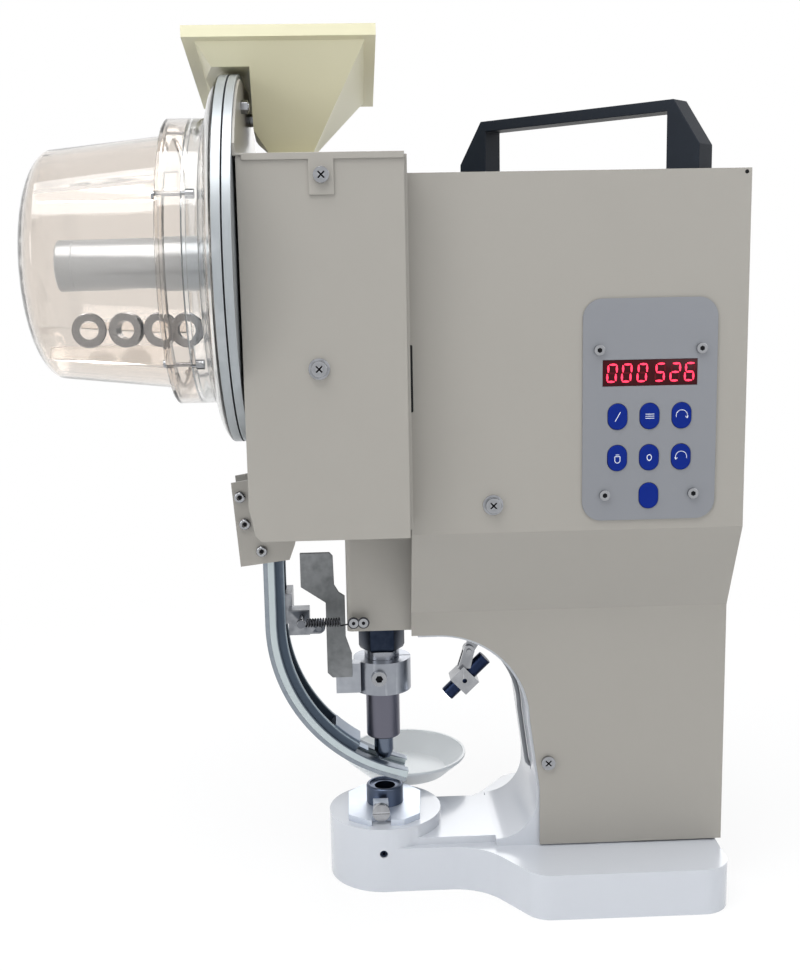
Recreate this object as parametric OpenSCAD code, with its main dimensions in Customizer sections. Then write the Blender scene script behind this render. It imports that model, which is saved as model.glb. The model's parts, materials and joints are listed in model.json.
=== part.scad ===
/* [Base] */
// Height of the foot and of the front arm
base_h = 36; // [30:1:44]
// Width of the foot across the machine
foot_w = 198; // [180:2:240]
// Rear end of the foot, measured from the press axis
foot_rear = 261; // [258:1:290]
// Where the foot starts to narrow towards the arm
foot_front = 112; // [104:1:125]
// Radius of the round boss under the dies
boss_r = 45.5; // [40:0.5:50]
// Height of the round boss
boss_h = 52.5; // [50:0.5:58]
// Height of the raised deck along the arm
deck_h = 42; // [40:0.5:46]
// Width of the raised deck
deck_w = 78; // [60:1:84]

/* [Throat] */
// Front face of the pillar, measured from the press axis
throat_depth = 118.5; // [112:0.5:125]
// Height of the throat's ceiling
throat_top = 209; // [200:1:214]
// Radius of the ceiling's rear corner
throat_r = 69; // [50:1:72]
// Radius of the fillet between deck and pillar
throat_fillet = 32; // [15:1:40]

/* [Covers] */
// Thickness of the sheet-metal covers
sheet = 1.5; // [1:0.1:2]
// Width of the head over its side covers
head_w = 166; // [150:1:180]
// Front edge of the head covers
head_front = 22; // [21:0.5:24]
// Rear face of the head and pillar
head_rear = 265; // [256:1:290]
// Top of the head
head_top = 553; // [530:1:580]
// Height where the side covers start to slope inwards
slope_top = 297; // [290:1:320]
// Height where the slope ends at the pillar
slope_bottom = 229; // [222:1:240]
// Width of the pillar over its side covers
pillar_w = 98; // [96:1:110]
// Gap between the covers and the foot
cover_lift = 1.5; // [0.5:0.1:3]

/* [Ram housing] */
// Width of the ram housing along the machine
neck_x = 54; // [46:1:54]
// Width of the ram housing across the machine
neck_y = 84; // [70:1:90]
// Lower end of the ram housing
neck_bottom = 214; // [211:0.5:220]
// Upper end of the ram housing
neck_top = 320; // [310:1:330]

/* [Ram] */
// Working stroke of the ram
stroke = 38; // [30:0.5:38]
// Radius of the ram shaft
ram_r = 14; // [12:0.5:15]
// Radial running clearance of every guided shaft
run_gap = 0.05; // [0.02:0.01:0.1]
// Lower end of the upper die sleeve at rest
sleeve_bottom = 115; // [114:0.5:120]
// Outer radius of the upper die sleeve
sleeve_r = 13.5; // [12:0.5:14]
// Radius of the spring-loaded locating pin
pin_r = 7.75; // [5:0.25:8]
// Lower tip of the locating pin at rest
pin_tip = 96; // [96:0.5:102]
// How far the locating pin can retract
pin_travel = 17; // [10:0.5:17]
// Outer radius of the clamp collar
collar_r = 23; // [20:0.5:25]
// Lower face of the clamp collar
collar_z = 155; // [150:0.5:160]
// Height of the clamp collar
collar_h = 26; // [20:1:30]

/* [Drive] */
// Height of the crankshaft axis
crank_z = 390; // [385:0.5:396]
// Radius of the crankshaft
crank_shaft_r = 12; // [9:0.5:13]
// Radius of the crank pin
crank_pin_r = 7; // [5:0.5:8]
// Radius of the motor body
motor_r = 38; // [30:1:45]
// Length of the motor body
motor_len = 110; // [80:1:112]

/* [Dies] */
// Radius of the lower die
die_r = 15; // [12:0.5:16]
// Height of the lower die
die_h = 15.5; // [12:0.5:16]
// Thickness of the anvil plate
anvil_t = 5; // [4:0.5:6]
// Radius of the thumb screw's head
thumb_r = 7; // [5:0.5:8]

/* [Feeder box] */
// Width of the feeder box
box_w = 216; // [190:2:230]
// Left side of the feeder box, measured from the press axis
box_left = -93; // [-96:0.5:-92]
// Lower edge of the feeder box
box_bottom = 300; // [296:1:306]
// Upper edge of the feeder box
box_top = 564; // [556:1:570]

/* [Drum] */
// Height of the drum axis
drum_z = 495; // [490:0.5:500]
// Radius of the drum disc
disc_r = 136; // [125:1:140]
// Thickness of the drum disc and of the fixed back plate
disc_t = 6; // [4:0.5:8]
// Running gap between the drum disc and the back plate
disc_gap = 1.2; // [0.6:0.1:1.5]
// Radius of the clear ring
ring_r = 106; // [102:0.5:110]
// Radius of the clear bowl at its open end
bowl_r = 94.5; // [90:0.5:95]
// Radius of the clear bowl near its closed end
bowl_end_r = 85; // [80:0.5:90]
// Length of the clear bowl
bowl_len = 104; // [80:1:120]
// Wall of the clear bowl
bowl_wall = 2.5; // [2:0.1:3.5]
// Radius of the drum hub
hub_r = 19; // [14:0.5:22]
// Outer radius of the eyelets it feeds
eyelet_r = 12.3; // [8:0.1:12.4]

/* [Funnel] */
// Length of the funnel mouth along the machine
mouth_x = 133; // [100:1:140]
// Depth of the funnel mouth across the machine
mouth_y = 130; // [100:1:140]
// Height of the funnel rim at its near side
mouth_top = 660; // [640:1:680]
// How far the rim falls towards its far side
mouth_fall = 32; // [0:1:40]
// Wall of the funnel
funnel_wall = 2.5; // [1.5:0.1:4]

/* [Track] */
// Radius of the curved track on its outer side
track_r = 135; // [130:1:138]
// Outer side of the track where it is upright
track_left = -91.5; // [-91.5:0.1:-90]
// Width of the track across the machine
track_w = 34; // [33:0.5:35]
// Angle through which the track curves
track_turn = 72; // [70:0.5:73]
// Length of the straight end under the punch
track_end = 15.5; // [12:0.5:16]
// How far the track swings aside during a stroke, in degrees
track_swing = 12; // [11:0.5:12]

/* [Panel] */
// Width of the control panel
panel_w = 97; // [94:1:110]
// Height of the control panel
panel_h = 160; // [156:1:170]
// Width of a key
key_w = 14; // [10:0.5:16]
// Height of a key
key_h = 18.8; // [16:0.1:21]
// How far a key travels
key_travel = 0.6; // [0.3:0.1:0.8]

/* [Handle] */
// Length of the carry handle
handle_len = 214; // [180:1:216]
// Height of the carry handle
handle_h = 49; // [40:1:60]
// Width of the handle's bar and legs
handle_t = 19; // [14:0.5:20]
// Angle of the handle to the machine's length
handle_turn = 44; // [35:1:45]

/* [Lamp] */
// Radius of the work lamp
lamp_r = 5.9; // [4:0.1:7]
// Length of the work lamp
lamp_len = 43; // [30:1:48]

/* [Hidden] */

$fn = 64;
// Gap of a bolt, a bush or a pressed piece in its hole
fit = 0.05;
// Gap kept between pieces that pass each other
clear = 0.4;
// Overshoot of a cut past the face that it opens
over = 1;
// Depth by which joined shapes of one piece run into each other
eps = 0.2;

// Head and pillar
head_half = head_w / 2;
pillar_half = pillar_w / 2;
cast_half = pillar_half - sheet - 1.5;
cover_bottom = base_h + cover_lift;
slope_miter = sheet * tan(atan((head_half - pillar_half) / (slope_top - slope_bottom)) / 2);
arm_top = 300;
pillar_rear = 196;
throat_low = 85;
throat_slant = 7.5;
throat_cx = throat_depth - throat_slant - throat_r;
throat_cz = throat_top - throat_r;
cover_back = 2;
m6 = 3;
m4 = 2;
pillar_screw = [throat_depth + 8.5, 105.8];
head_screw = [81.3, slope_top + 20.7];

// Ram and drive
sleeve_top = collar_z + collar_h;
pin_head_r = pin_r + 1.35;
pin_bore_r = pin_head_r + run_gap;
pin_lip = 4;
pin_head_h = 9;
stub_len = 16;
nut_bottom = sleeve_top + 6;
nut_top = neck_bottom - 3;
bush_r = ram_r + 4;
throw = stroke / 2;
slot_half = crank_pin_r + 0.105 * stroke + 0.3;
slot_reach = throw + crank_pin_r + 0.8;
slot_z = crank_z + throw;
crank_disc_r = throw + crank_pin_r + 3;
neck_z = crank_z - crank_disc_r - 4;
neck_flat = sqrt(pow(ram_r, 2) - pow(8, 2)) - 0.2;
yoke_x = 8;
yoke_wall = 9;
disc_x = yoke_x + 1;
crank_disc_t = 9;
pedestal = [32, 60];
bearing_r = crank_shaft_r + 10;
gearbox = [64, 124];
gearbox_half = 36;
cam_y = [-22, -19];
cam_edge = -43.5;

// Dies
anvil_top = boss_h + anvil_t;
die_top = anvil_top + die_h;
die_bore = pin_r + 0.55;
thumb_x = -4;
thumb_z = anvil_top + 4.7;

// Feeder
box_half = box_w / 2;
box_right = head_front - 2;
wall_bottom = 360;
flange_t = 2;
plate_x = box_left - flange_t;
disc_back = plate_x - disc_t - disc_gap;
disc_front = disc_back - disc_t;
flare_x = disc_front - 24;
ring_len = 18;
ring_x = flare_x - ring_len;
tie_r = (bowl_r + ring_r) / 2;
flare_r = ring_r - 8;
ring_wall = 3;
bowl_x = ring_x + 2.6;
shaft_r = 4;
window_r = 24;
window_pcr = 55;
chute_y = 20;
stay = [-41, 420.7];
lid_top = box_top + sheet;
tab_screw = [-35.9, box_top - 13.4];
funnel_x = -60;
throat_half = 15;
funnel_low = lid_top + 11.5;
funnel_notch = box_left + 6;
outlet_half = 14;
outlet_z = [wall_bottom + 4, wall_bottom + 32];

// Track
pivot = [-40, 345];
track_c = [track_left + track_r, track_r * sin(track_turn) + 84.8];
rail_t = 3.5;
bar_t = 4.7;
strip_t = 1.2;
web_t = 6.6;
channel_half = track_w / 2 - 3.5;
strip_half = 7.5;
joint_r = norm([track_left + 7.5 - pivot[0], 291 - pivot[1]]);
cheek_t = 2;
roller_r = 5;
roller_c = [cam_edge - 0.7 - roller_r, 213];
fork_r = 8.7;
fork_x = -1.5;
post_r = 2;
spring_y = -neck_y / 2 - 4;
spring_z = 223;
spring_post_x = -62;
anchor_x = [-22, -14.5];

// Panel
panel_c = [194.5, 384.3];
panel_y = -head_half - sheet;
display_w = 68.5;
display_h = 19;
display_dz = 27;
key_dx = 23.2;
key_gap = 0.3;
board_y = -head_half + 7;
board_t = 1.6;
switch_t = 2.2;
panel_holes = [[-36.8, 43.7], [36.8, 43.7], [-32.3, -61.2], [32.3, -61.2]];
key_places = [[-key_dx, -4.3], [0, -4.3], [key_dx, -4.3], [-key_dx, -34.3], [0, -34.3],
    [key_dx, -34.3], [0, -62.3]];

// Handle
handle_c = [157, -1];
handle_leg = 26;
handle_bar = 8;
handle_knee = [21, 17];

// Lamp
lamp_pivot = [70, 184];
lamp_c = [66, 160.5];
lamp_tilt = 44;
lead_r = 1.75;
lead_y = -14;
lead_hole_r = 4;
lead_z = 90;
lead_run = throat_r - lead_r - 0.25;
lead_line = [[throat_cx + lead_run, throat_cz], [throat_depth - 3.7, lead_z + 6.5]];
lead_path = concat([for (a = [60:-5:0]) [throat_cx + lead_run * cos(a), throat_cz + lead_run * sin(a)]],
    [lead_line[1], [throat_depth - 3, lead_z + 3], [throat_depth - 1.1, lead_z + 0.7],
        [throat_depth + 2, lead_z], [throat_depth + 12, lead_z]]);

// Rear panel
rocker_c = [-1, 18, 116];
rocker_rest = 8;

// Helpers
module xz(y0, y1) { translate([0, y1, 0]) rotate([90, 0, 0]) linear_extrude(y1 - y0) children(); }
module yz(x0, x1) { translate([x0, 0, 0]) rotate([90, 0, 90]) linear_extrude(x1 - x0) children(); }
module xy(z0, z1) { translate([0, 0, z0]) linear_extrude(z1 - z0) children(); }
module block(x0, x1, y0, y1, z0, z1) { translate([x0, y0, z0]) cube([x1 - x0, y1 - y0, z1 - z0]); }
module rod_x(r, x0, x1, y, z) { translate([x0, y, z]) rotate([0, 90, 0]) cylinder(r = r, h = x1 - x0); }
module rod_y(r, y0, y1, x, z) { translate([x, y1, z]) rotate([90, 0, 0]) cylinder(r = r, h = y1 - y0); }
module rod_z(r, z0, z1, x = 0, y = 0) { translate([x, y, z0]) cylinder(r = r, h = z1 - z0); }
module turned_x(z) { translate([0, 0, z]) rotate([0, 90, 0]) rotate_extrude($fn = 96) children(); }
module both_sides() { children(); mirror([0, 1, 0]) children(); }
module rounded(w, h, r) {
    square([w - 2 * r, h], center = true);
    square([w, h - 2 * r], center = true);
    for (x = [-1, 1], y = [-1, 1]) translate([x * (w / 2 - r), y * (h / 2 - r)]) circle(r);
}
// A bar of radius r from p to q in the plane y
module bar(p, q, r, y) {
    d = q - p;
    translate([p[0], y, p[1]]) rotate([0, atan2(d[0], d[1]), 0]) cylinder(r = r, h = norm(d));
}

// A closed solid with four lower and four upper corners
module tapered_box(low, high) {
    polyhedron(concat(low, high), [[0, 1, 2], [0, 2, 3], [4, 5, 1], [4, 1, 0], [7, 6, 5], [7, 5, 4],
        [5, 6, 2], [5, 2, 1], [6, 7, 3], [6, 3, 2], [7, 4, 0], [7, 0, 3]]);
}
// The four corners of a level rectangle
function level(x, y, hx, hy, z) = [[x - hx, y - hy, z], [x + hx, y - hy, z], [x + hx, y + hy, z],
    [x - hx, y + hy, z]];

// Tube along a path, with a frame carried from ring to ring
function unit(v) = v / norm(v);
function across(n, t) = unit(n - (n * t) * t);
function tangents(p) = [for (i = [0:len(p) - 1]) unit(p[min(i + 1, len(p) - 1)] - p[max(i - 1, 0)])];
function frames(t, n0) = [for (i = 0, n = across(n0, t[0]); i < len(t);
    i = i + 1, n = across(n, t[min(i, len(t) - 1)])) n];
module tube(path, r, n0, sides = 6) {
    t = tangents(path);
    n = frames(t, n0);
    rings = [for (i = [0:len(path) - 1], k = [0:sides - 1])
        path[i] + r * (cos(360 * k / sides) * n[i] + sin(360 * k / sides) * cross(t[i], n[i]))];
    last = len(path) - 1;
    ends = [path[0], path[last]];
    a = len(rings);
    faces = concat(
        [for (i = [0:last - 1], k = [0:sides - 1]) let (m = (k + 1) % sides)
            [i * sides + k, (i + 1) * sides + k, i * sides + m]],
        [for (i = [0:last - 1], k = [0:sides - 1]) let (m = (k + 1) % sides)
            [i * sides + m, (i + 1) * sides + k, (i + 1) * sides + m]],
        [for (k = [0:sides - 1]) [a, k, (k + 1) % sides]],
        [for (k = [0:sides - 1]) [a + 1, last * sides + (k + 1) % sides, last * sides + k]]);
    polyhedron(concat(rings, ends), faces);
}
// Least gap of a tube to itself, between points more than half a curl apart
function self_gap(p, r, apart) = min([for (i = [0:len(p) - 1], j = [i + apart:1:len(p) - 1])
    norm(p[i] - p[j])]) - 2 * r;

// Castings
module foot_outline() {
    arm = boss_r - 0.5;
    circle(boss_r);
    intersection() {
        offset(r = 22) offset(delta = -22) offset(r = -45) offset(delta = 45)
            polygon([[-100, -arm], [throat_depth - 44, -arm], [foot_front, -foot_w / 2],
                [foot_rear, -foot_w / 2], [foot_rear, foot_w / 2], [foot_front, foot_w / 2],
                [throat_depth - 44, arm], [-100, arm]]);
        translate([0, -foot_w]) square([foot_rear + 1, 2 * foot_w]);
    }
}
module throat_shape(grow, low) {
    top = throat_cz + throat_r + grow;
    translate([throat_cx, throat_cz]) circle(throat_r + grow, $fn = 128);
    polygon([[-200, low], [throat_depth + grow, low], [throat_depth + grow, throat_low],
        [throat_cx + throat_r + grow, throat_cz], [throat_cx, throat_cz], [throat_cx, top], [-200, top]]);
}
module casting_side() {
    difference() {
        union() {
            translate([neck_x / 2, throat_cz]) square([pillar_rear - neck_x / 2, arm_top - throat_cz]);
            translate([throat_depth - throat_fillet, base_h - 2])
                square([pillar_rear - throat_depth + throat_fillet, throat_cz - base_h + 3]);
        }
        throat_shape(0, deck_h + throat_fillet);
        difference() {
            translate([0, deck_h]) square([throat_depth, throat_fillet + over]);
            difference() {
                translate([throat_depth - throat_fillet, deck_h]) square(throat_fillet);
                translate([throat_depth - throat_fillet, deck_h + throat_fillet])
                    circle(throat_fillet, $fn = 96);
            }
        }
    }
}
module cover_stay() {
    yz(head_screw[0] - 8, head_screw[0] + 8)
        polygon([[cast_half - 6, arm_top - 30], [cast_half, arm_top - 30],
            [head_half - sheet, head_screw[1] - 6], [head_half - sheet, head_screw[1] + 9],
            [cast_half - 6, head_screw[1] + 9]]);
}
module frame_casting() {
    color("white") difference() {
        union() {
            xy(0, base_h) foot_outline();
            rod_z(boss_r, 0, boss_h);
            xy(base_h - 1, deck_h) translate([0, -deck_w / 2]) square([throat_depth + 10, deck_w]);
            xz(-cast_half, cast_half) casting_side();
            block(pedestal[0], pedestal[1], -30, 30, arm_top - 1, crank_z + bearing_r + 12);
            both_sides() cover_stay();
        }
        rod_x(bearing_r, pedestal[0] - over, pedestal[1] + over, 0, crank_z);
        both_sides() {
            rod_y(m6 + fit, cast_half - 18, cast_half + over, pillar_screw[0], pillar_screw[1]);
            rod_y(m6 + fit, head_half - 24, head_half + over, head_screw[0], head_screw[1]);
        }
        rod_y(m6 + 0.2, -boss_r - over, -boss_r + 16, -2.8, base_h - 4);
        rod_x(lead_hole_r, throat_depth - 10, throat_depth + 20, lead_y, lead_z);
    }
}
module ram_housing() {
    corner = 4;
    color("wheat") difference() {
        xy(neck_bottom, neck_top) difference() {
            union() {
                translate([corner - neck_x / 2, -neck_y / 2]) square([neck_x - corner, neck_y]);
                translate([-neck_x / 2, corner - neck_y / 2]) square([neck_x, neck_y - 2 * corner]);
                for (y = [-1, 1]) translate([corner - neck_x / 2, y * (neck_y / 2 - corner)]) circle(corner);
            }
        }
        rod_z(bush_r + fit, neck_bottom - over, neck_top + over);
        for (x = anchor_x) rod_y(m4 + fit, -neck_y / 2 - over, -neck_y / 2 + 9, x, spring_z);
    }
}
module guide_bushes() {
    color("peru") for (z = [neck_bottom + 2, neck_top - 34]) difference() {
        rod_z(bush_r, z, z + 32);
        rod_z(ram_r + run_gap, z - over, z + 33);
    }
}

// Covers
module cover_profile() {
    polygon([[-head_half, head_top], [-head_half, slope_top], [-pillar_half, slope_bottom],
        [-pillar_half, cover_bottom], [sheet - pillar_half, cover_bottom],
        [sheet - pillar_half, slope_bottom + slope_miter], [sheet - head_half, slope_top + slope_miter],
        [sheet - head_half, head_top]]);
}
module side_cover() {
    difference() {
        union() {
            yz(head_front, head_rear) cover_profile();
            block(head_front, head_front + sheet, sheet - head_half, 22 - head_half, slope_top + 3,
                head_top - sheet);
        }
        xz(-head_w, 0) throat_shape(cover_back, -over);
        rod_y(m6 + 0.2, -head_half, 0, pillar_screw[0], pillar_screw[1]);
        rod_y(m6 + 0.2, -head_half - over, 0, head_screw[0], head_screw[1]);
    }
}
module cover_near() {
    color("tan") difference() {
        side_cover();
        xz(-head_half - over, sheet - head_half + over) translate(panel_c) {
            translate([0, display_dz]) square([display_w + 2, display_h + 2], center = true);
            translate([0, -19.3]) rounded(2 * key_dx + key_w + 4, 30 + key_h + 5, 3);
            translate([0, -62.3]) rounded(key_w + 4, key_h + 5, 3);
            for (p = panel_holes) translate(p) circle(m4 + 0.2);
        }
    }
}
module cover_far() { color("tan") mirror([0, 1, 0]) side_cover(); }
module cover_top_rear() {
    inner = head_half - sheet;
    low = pillar_half - sheet;
    color("tan") difference() {
        union() {
            block(head_front, head_rear, -inner, inner, head_top - sheet, head_top);
            yz(head_rear - sheet, head_rear) polygon([[-inner, head_top], [-inner, slope_top + slope_miter],
                [-low, slope_bottom + slope_miter], [-low, cover_bottom], [low, cover_bottom],
                [low, slope_bottom + slope_miter], [inner, slope_top + slope_miter], [inner, head_top]]);
        }
        for (s = [-1, 1]) translate(concat(handle_c, 0)) rotate(-handle_turn)
            rod_z(m6 + 0.2, head_top - 5, head_top + over, s * (handle_len - handle_leg) / 2, 0);
        block(head_rear - 3, head_rear + over, -20, 6, 66, 94);
        rod_x(8, head_rear - 3, head_rear + over, -20, 120);
        block(head_rear - 3, head_rear + over, 8, 28, 103, 129);
    }
}
module carry_handle() {
    h = handle_len / 2;
    color("midnightblue") translate([handle_c[0], handle_c[1], head_top]) rotate(-handle_turn)
        difference() {
            xz(-handle_t / 2, handle_t / 2) difference() {
                polygon([[-h, 0], [-h, handle_knee[1]], [handle_knee[0] - h, handle_h],
                    [h - handle_knee[0], handle_h], [h, handle_knee[1]], [h, 0]]);
                translate([handle_leg - h, -over])
                    square([handle_len - 2 * handle_leg, handle_h - handle_bar + over]);
            }
            for (s = [-1, 1]) rod_z(m6 + fit, -over, 14, s * (handle_len - handle_leg) / 2, 0);
        }
}

// Control panel
module key_outline(grow) {
    r = key_w / 2 + grow;
    square([2 * r, key_h - key_w], center = true);
    for (s = [-1, 1]) translate([0, s * (key_h - key_w) / 2]) circle(r);
}
module control_panel() {
    color("silver") xz(panel_y, -head_half) translate(panel_c) difference() {
        rounded(panel_w, panel_h, 14);
        translate([0, display_dz]) square([display_w, display_h], center = true);
        for (p = key_places) translate(p) key_outline(key_gap);
        for (p = panel_holes) translate(p) circle(m4 + 0.2);
    }
}
module panel_screws() {
    color("silver") for (p = panel_holes) translate([panel_c[0] + p[0], 0, panel_c[1] + p[1]]) {
        rod_y(m4, panel_y - over, board_y + board_t + over, 0, 0);
        rod_y(m4 + 1.9, panel_y - 2.6, panel_y, 0, 0);
        rod_y(m4 + 1.5, board_y + board_t, board_y + board_t + 2.4, 0, 0);
    }
}
module display_board() {
    color("darkred") union() {
        difference() {
            xz(board_y, board_y + board_t) translate([panel_c[0], panel_c[1] - 10]) square([89, 124],
                center = true);
            for (p = panel_holes) rod_y(m4 + 0.1, board_y - 1, board_y + 3, panel_c[0] + p[0],
                panel_c[1] + p[1]);
        }
        for (p = panel_holes) difference() {
            rod_y(m4 + 2, sheet - head_half, board_y + eps, panel_c[0] + p[0], panel_c[1] + p[1]);
            rod_y(m4 + 0.1, sheet - head_half - 1, board_y + 3, panel_c[0] + p[0], panel_c[1] + p[1]);
        }
        xz(panel_y + 0.3, board_y + eps) translate([panel_c[0], panel_c[1] + display_dz])
            square([display_w - 0.4, display_h - 0.4], center = true);
        for (p = key_places) xz(board_y - switch_t, board_y + eps)
            translate([panel_c[0] + p[0], panel_c[1] + p[1]]) square(6, center = true);
    }
}
module key(i) {
    p = panel_c + key_places[i];
    color("mediumblue") translate([p[0], 0, p[1]]) {
        xz(panel_y - 1, sheet - head_half - 0.3) key_outline(0);
        xz(0.2 - head_half, sheet - head_half - 0.3) key_outline(key_gap + 0.7);
        rod_y(m4, sheet - head_half - 0.4, board_y - switch_t - key_travel - 0.1, 0, 0);
    }
}
module key_feed() { key(0); }
module key_menu() { key(1); }
module key_forward() { key(2); }
module key_lamp() { key(3); }
module key_zero() { key(4); }
module key_reverse() { key(5); }
module key_jog() { key(6); }

// Drive
module gear_motor() {
    color("dimgray") difference() {
        union() {
            block(gearbox[0], gearbox[1], -gearbox_half, gearbox_half, arm_top, crank_z + 42);
            rod_x(motor_r, gearbox[1] - 1, gearbox[1] + motor_len, 0, crank_z);
        }
        rod_x(crank_shaft_r + run_gap, gearbox[0] - over, gearbox[0] + 22, 0, crank_z);
    }
}
module crank_bearings() {
    color("silver") for (x = [pedestal[0] + 2, pedestal[1] - 12]) difference() {
        rod_x(bearing_r - fit, x, x + 10, 0, crank_z);
        rod_x(crank_shaft_r + run_gap, x - over, x + 11, 0, crank_z);
    }
}
module crank_shaft() {
    color("gray") {
        rod_x(crank_shaft_r, disc_x + crank_disc_t - 1, gearbox[0] + 18, 0, crank_z);
        rod_x(crank_disc_r, disc_x, disc_x + crank_disc_t, 0, crank_z);
        rod_x(crank_pin_r, -yoke_x - 1.5, disc_x + 1, 0, slot_z);
    }
}
module power_supply() {
    color("darkgreen") block(head_rear - sheet - 50, head_rear - sheet, -60, 60, slope_top + 3, crank_z - 45);
}

// Ram
module ram() {
    color("silver") {
        rod_z(ram_r, sleeve_top, neck_z);
        block(-yoke_x, yoke_x, -neck_flat, neck_flat, neck_z - 1, slot_z - slot_half - yoke_wall + 1);
        rod_z(pin_bore_r - fit, sleeve_top - stub_len, sleeve_top + 1);
        difference() {
            block(-yoke_x, yoke_x, -slot_reach - yoke_wall, slot_reach + yoke_wall,
                slot_z - slot_half - yoke_wall, slot_z + slot_half + yoke_wall);
            block(-yoke_x - over, yoke_x + over, -slot_reach, slot_reach, slot_z - slot_half,
                slot_z + slot_half);
        }
    }
}
module ram_nut() {
    r = ram_r + fit;
    color("black") rotate_extrude() polygon([[r, nut_bottom], [r + 1.5, nut_bottom],
        [r + 4.5, nut_bottom + 7], [r + 4.5, nut_top - 2], [r + 3.5, nut_top], [r, nut_top]]);
}
module clamp_collar() {
    color("lightgray") difference() {
        union() {
            rod_z(collar_r, collar_z, sleeve_top);
            block(-37, -sleeve_r - 4, cam_y[1], cam_y[1] + 11, collar_z + 2, sleeve_top);
        }
        rod_z(sleeve_r + fit, collar_z - over, sleeve_top + over);
        block(sleeve_r - 2, collar_r + over, -0.8, 0.8, collar_z - over, sleeve_top + over);
        rod_y(m6 + 0.1, -collar_r - over, 0, -3, collar_z + 15);
        rod_y(6.1, -collar_r - over, 4 - collar_r, -3, collar_z + 15);
    }
}
module collar_screw() {
    color("silver") difference() {
        union() {
            rod_y(6, -collar_r - 4, 4 - collar_r, -3, collar_z + 15);
            rod_y(m6, -collar_r, -sleeve_r - 0.6, -3, collar_z + 15);
        }
        rod_y(3, -collar_r - 5, -collar_r - 0.5, -3, collar_z + 15, $fn = 6);
    }
}
module cam_plate() {
    color("gray") xz(cam_y[0], cam_y[1]) polygon([[-62.5, 272], [-39.5, 272], [-37, 269], [-36.5, 246],
        [-33, 240], [-28.5, 237], [-28.5, 204], [-26, 196], [-24, 190], [-24, collar_z + 16],
        [cam_edge + 4, collar_z + 16], [cam_edge, collar_z + 20], [cam_edge, 232], [-62.5, 245]]);
}
module die_sleeve() {
    color("dimgray") rotate_extrude() polygon([[pin_r + run_gap, sleeve_bottom], [sleeve_r - 1, sleeve_bottom],
        [sleeve_r, sleeve_bottom + 1], [sleeve_r, sleeve_top], [pin_bore_r, sleeve_top],
        [pin_bore_r, sleeve_bottom + pin_lip], [pin_r + run_gap, sleeve_bottom + pin_lip]]);
}
module locating_pin() {
    head = sleeve_bottom + pin_lip;
    color("steelblue") rotate_extrude() polygon([[0, pin_tip], [pin_r - 2.5, pin_tip], [pin_r, pin_tip + 6],
        [pin_r, head], [pin_head_r, head], [pin_head_r, head + pin_head_h], [0, head + pin_head_h]]);
}

// Springs: each is one unbroken tube
pin_spring_turns = 8;
pin_spring_wire = 0.75;
pin_spring_low = sleeve_bottom + pin_lip + pin_head_h + pin_spring_wire + 0.1;
pin_spring_high = sleeve_top - stub_len - pin_spring_wire - 0.1;
pin_spring_path = [for (i = [0:8 * pin_spring_turns]) let (a = 45 * i, f = i / (8 * pin_spring_turns))
    [(pin_head_r - 1.6) * cos(a), (pin_head_r - 1.6) * sin(a),
        pin_spring_low + (pin_spring_high - pin_spring_low) * f]];
return_turns = 13;
return_wire = 0.5;
return_coil_r = 3;
hook_r = post_r + return_wire + 0.35;
coil_x = [-58, -32];
function hook(x, a0, a1, n) = [for (i = [0:n]) let (a = a0 + (a1 - a0) * i / n)
    [x + hook_r * cos(a), spring_y, spring_z + hook_r * sin(a)]];
return_spring_path = concat(hook(spring_post_x, 70, 325, 8),
    [for (i = [0:8 * return_turns]) let (a = 45 * i)
        [coil_x[0] + (coil_x[1] - coil_x[0]) * i / (8 * return_turns), spring_y + return_coil_r * sin(a),
            spring_z - return_coil_r * cos(a)]],
    hook(anchor_x[0], 215, 470, 8));
echo(pin_spring_gap = self_gap(pin_spring_path, pin_spring_wire, 5));
echo(return_spring_gap = self_gap(return_spring_path, return_wire, 5));
module pin_spring() { color("silver") tube(pin_spring_path, pin_spring_wire, [0, 0, 1]); }
module return_spring() { color("dimgray") tube(return_spring_path, return_wire, [0, 1, 0]); }

// Dies
module anvil_plate() {
    color("lightsteelblue") difference() {
        union() {
            xy(boss_h, anvil_top) polygon([[-30, -25], [-14, -38], [14, -38], [27, -27], [30, 18], [18, 34],
                [-18, 34], [-30, 20]]);
            block(thumb_x - 6, thumb_x + 6, -29, -die_r - 4, anvil_top - 1, thumb_z + 5.5);
        }
        rod_y(m6 + fit, -30, -die_r, thumb_x, thumb_z);
        block(thumb_x - thumb_r - 0.5, thumb_x + thumb_r + 0.5, -50, -29.5, boss_h - over, anvil_top + over);
    }
}
module lower_die() {
    color("dimgray") rotate_extrude() polygon([[die_bore, anvil_top], [die_r, anvil_top],
        [die_r, die_top - 1.2], [die_r - 1.2, die_top], [die_r - 2.6, die_top], [die_r - 3, die_top - 2],
        [die_bore, die_top - 2]]);
}
module thumb_screw() {
    color("silver") difference() {
        union() {
            rod_y(thumb_r, -36, -31, thumb_x, thumb_z);
            rod_y(m6, -31.5, -die_r - 1.1, thumb_x, thumb_z);
        }
        block(thumb_x - thumb_r, thumb_x + thumb_r, -37, -35, thumb_z - 0.7, thumb_z + 0.7);
    }
}
module dish() {
    c = [21, 91.5];
    color("gainsboro") {
        translate([c[0], c[1], 0]) rotate_extrude() polygon([[0, 46], [36, 46], [53.5, 61.5], [53.5, 64],
            [51, 64], [51, 62.6], [35.2, 48.2], [0, 48.2]]);
        difference() {
            block(4, 20, boss_r - 6, 64, 38, 46.5);
            rod_z(boss_r + 0.05, 0, boss_h);
        }
    }
}

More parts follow.
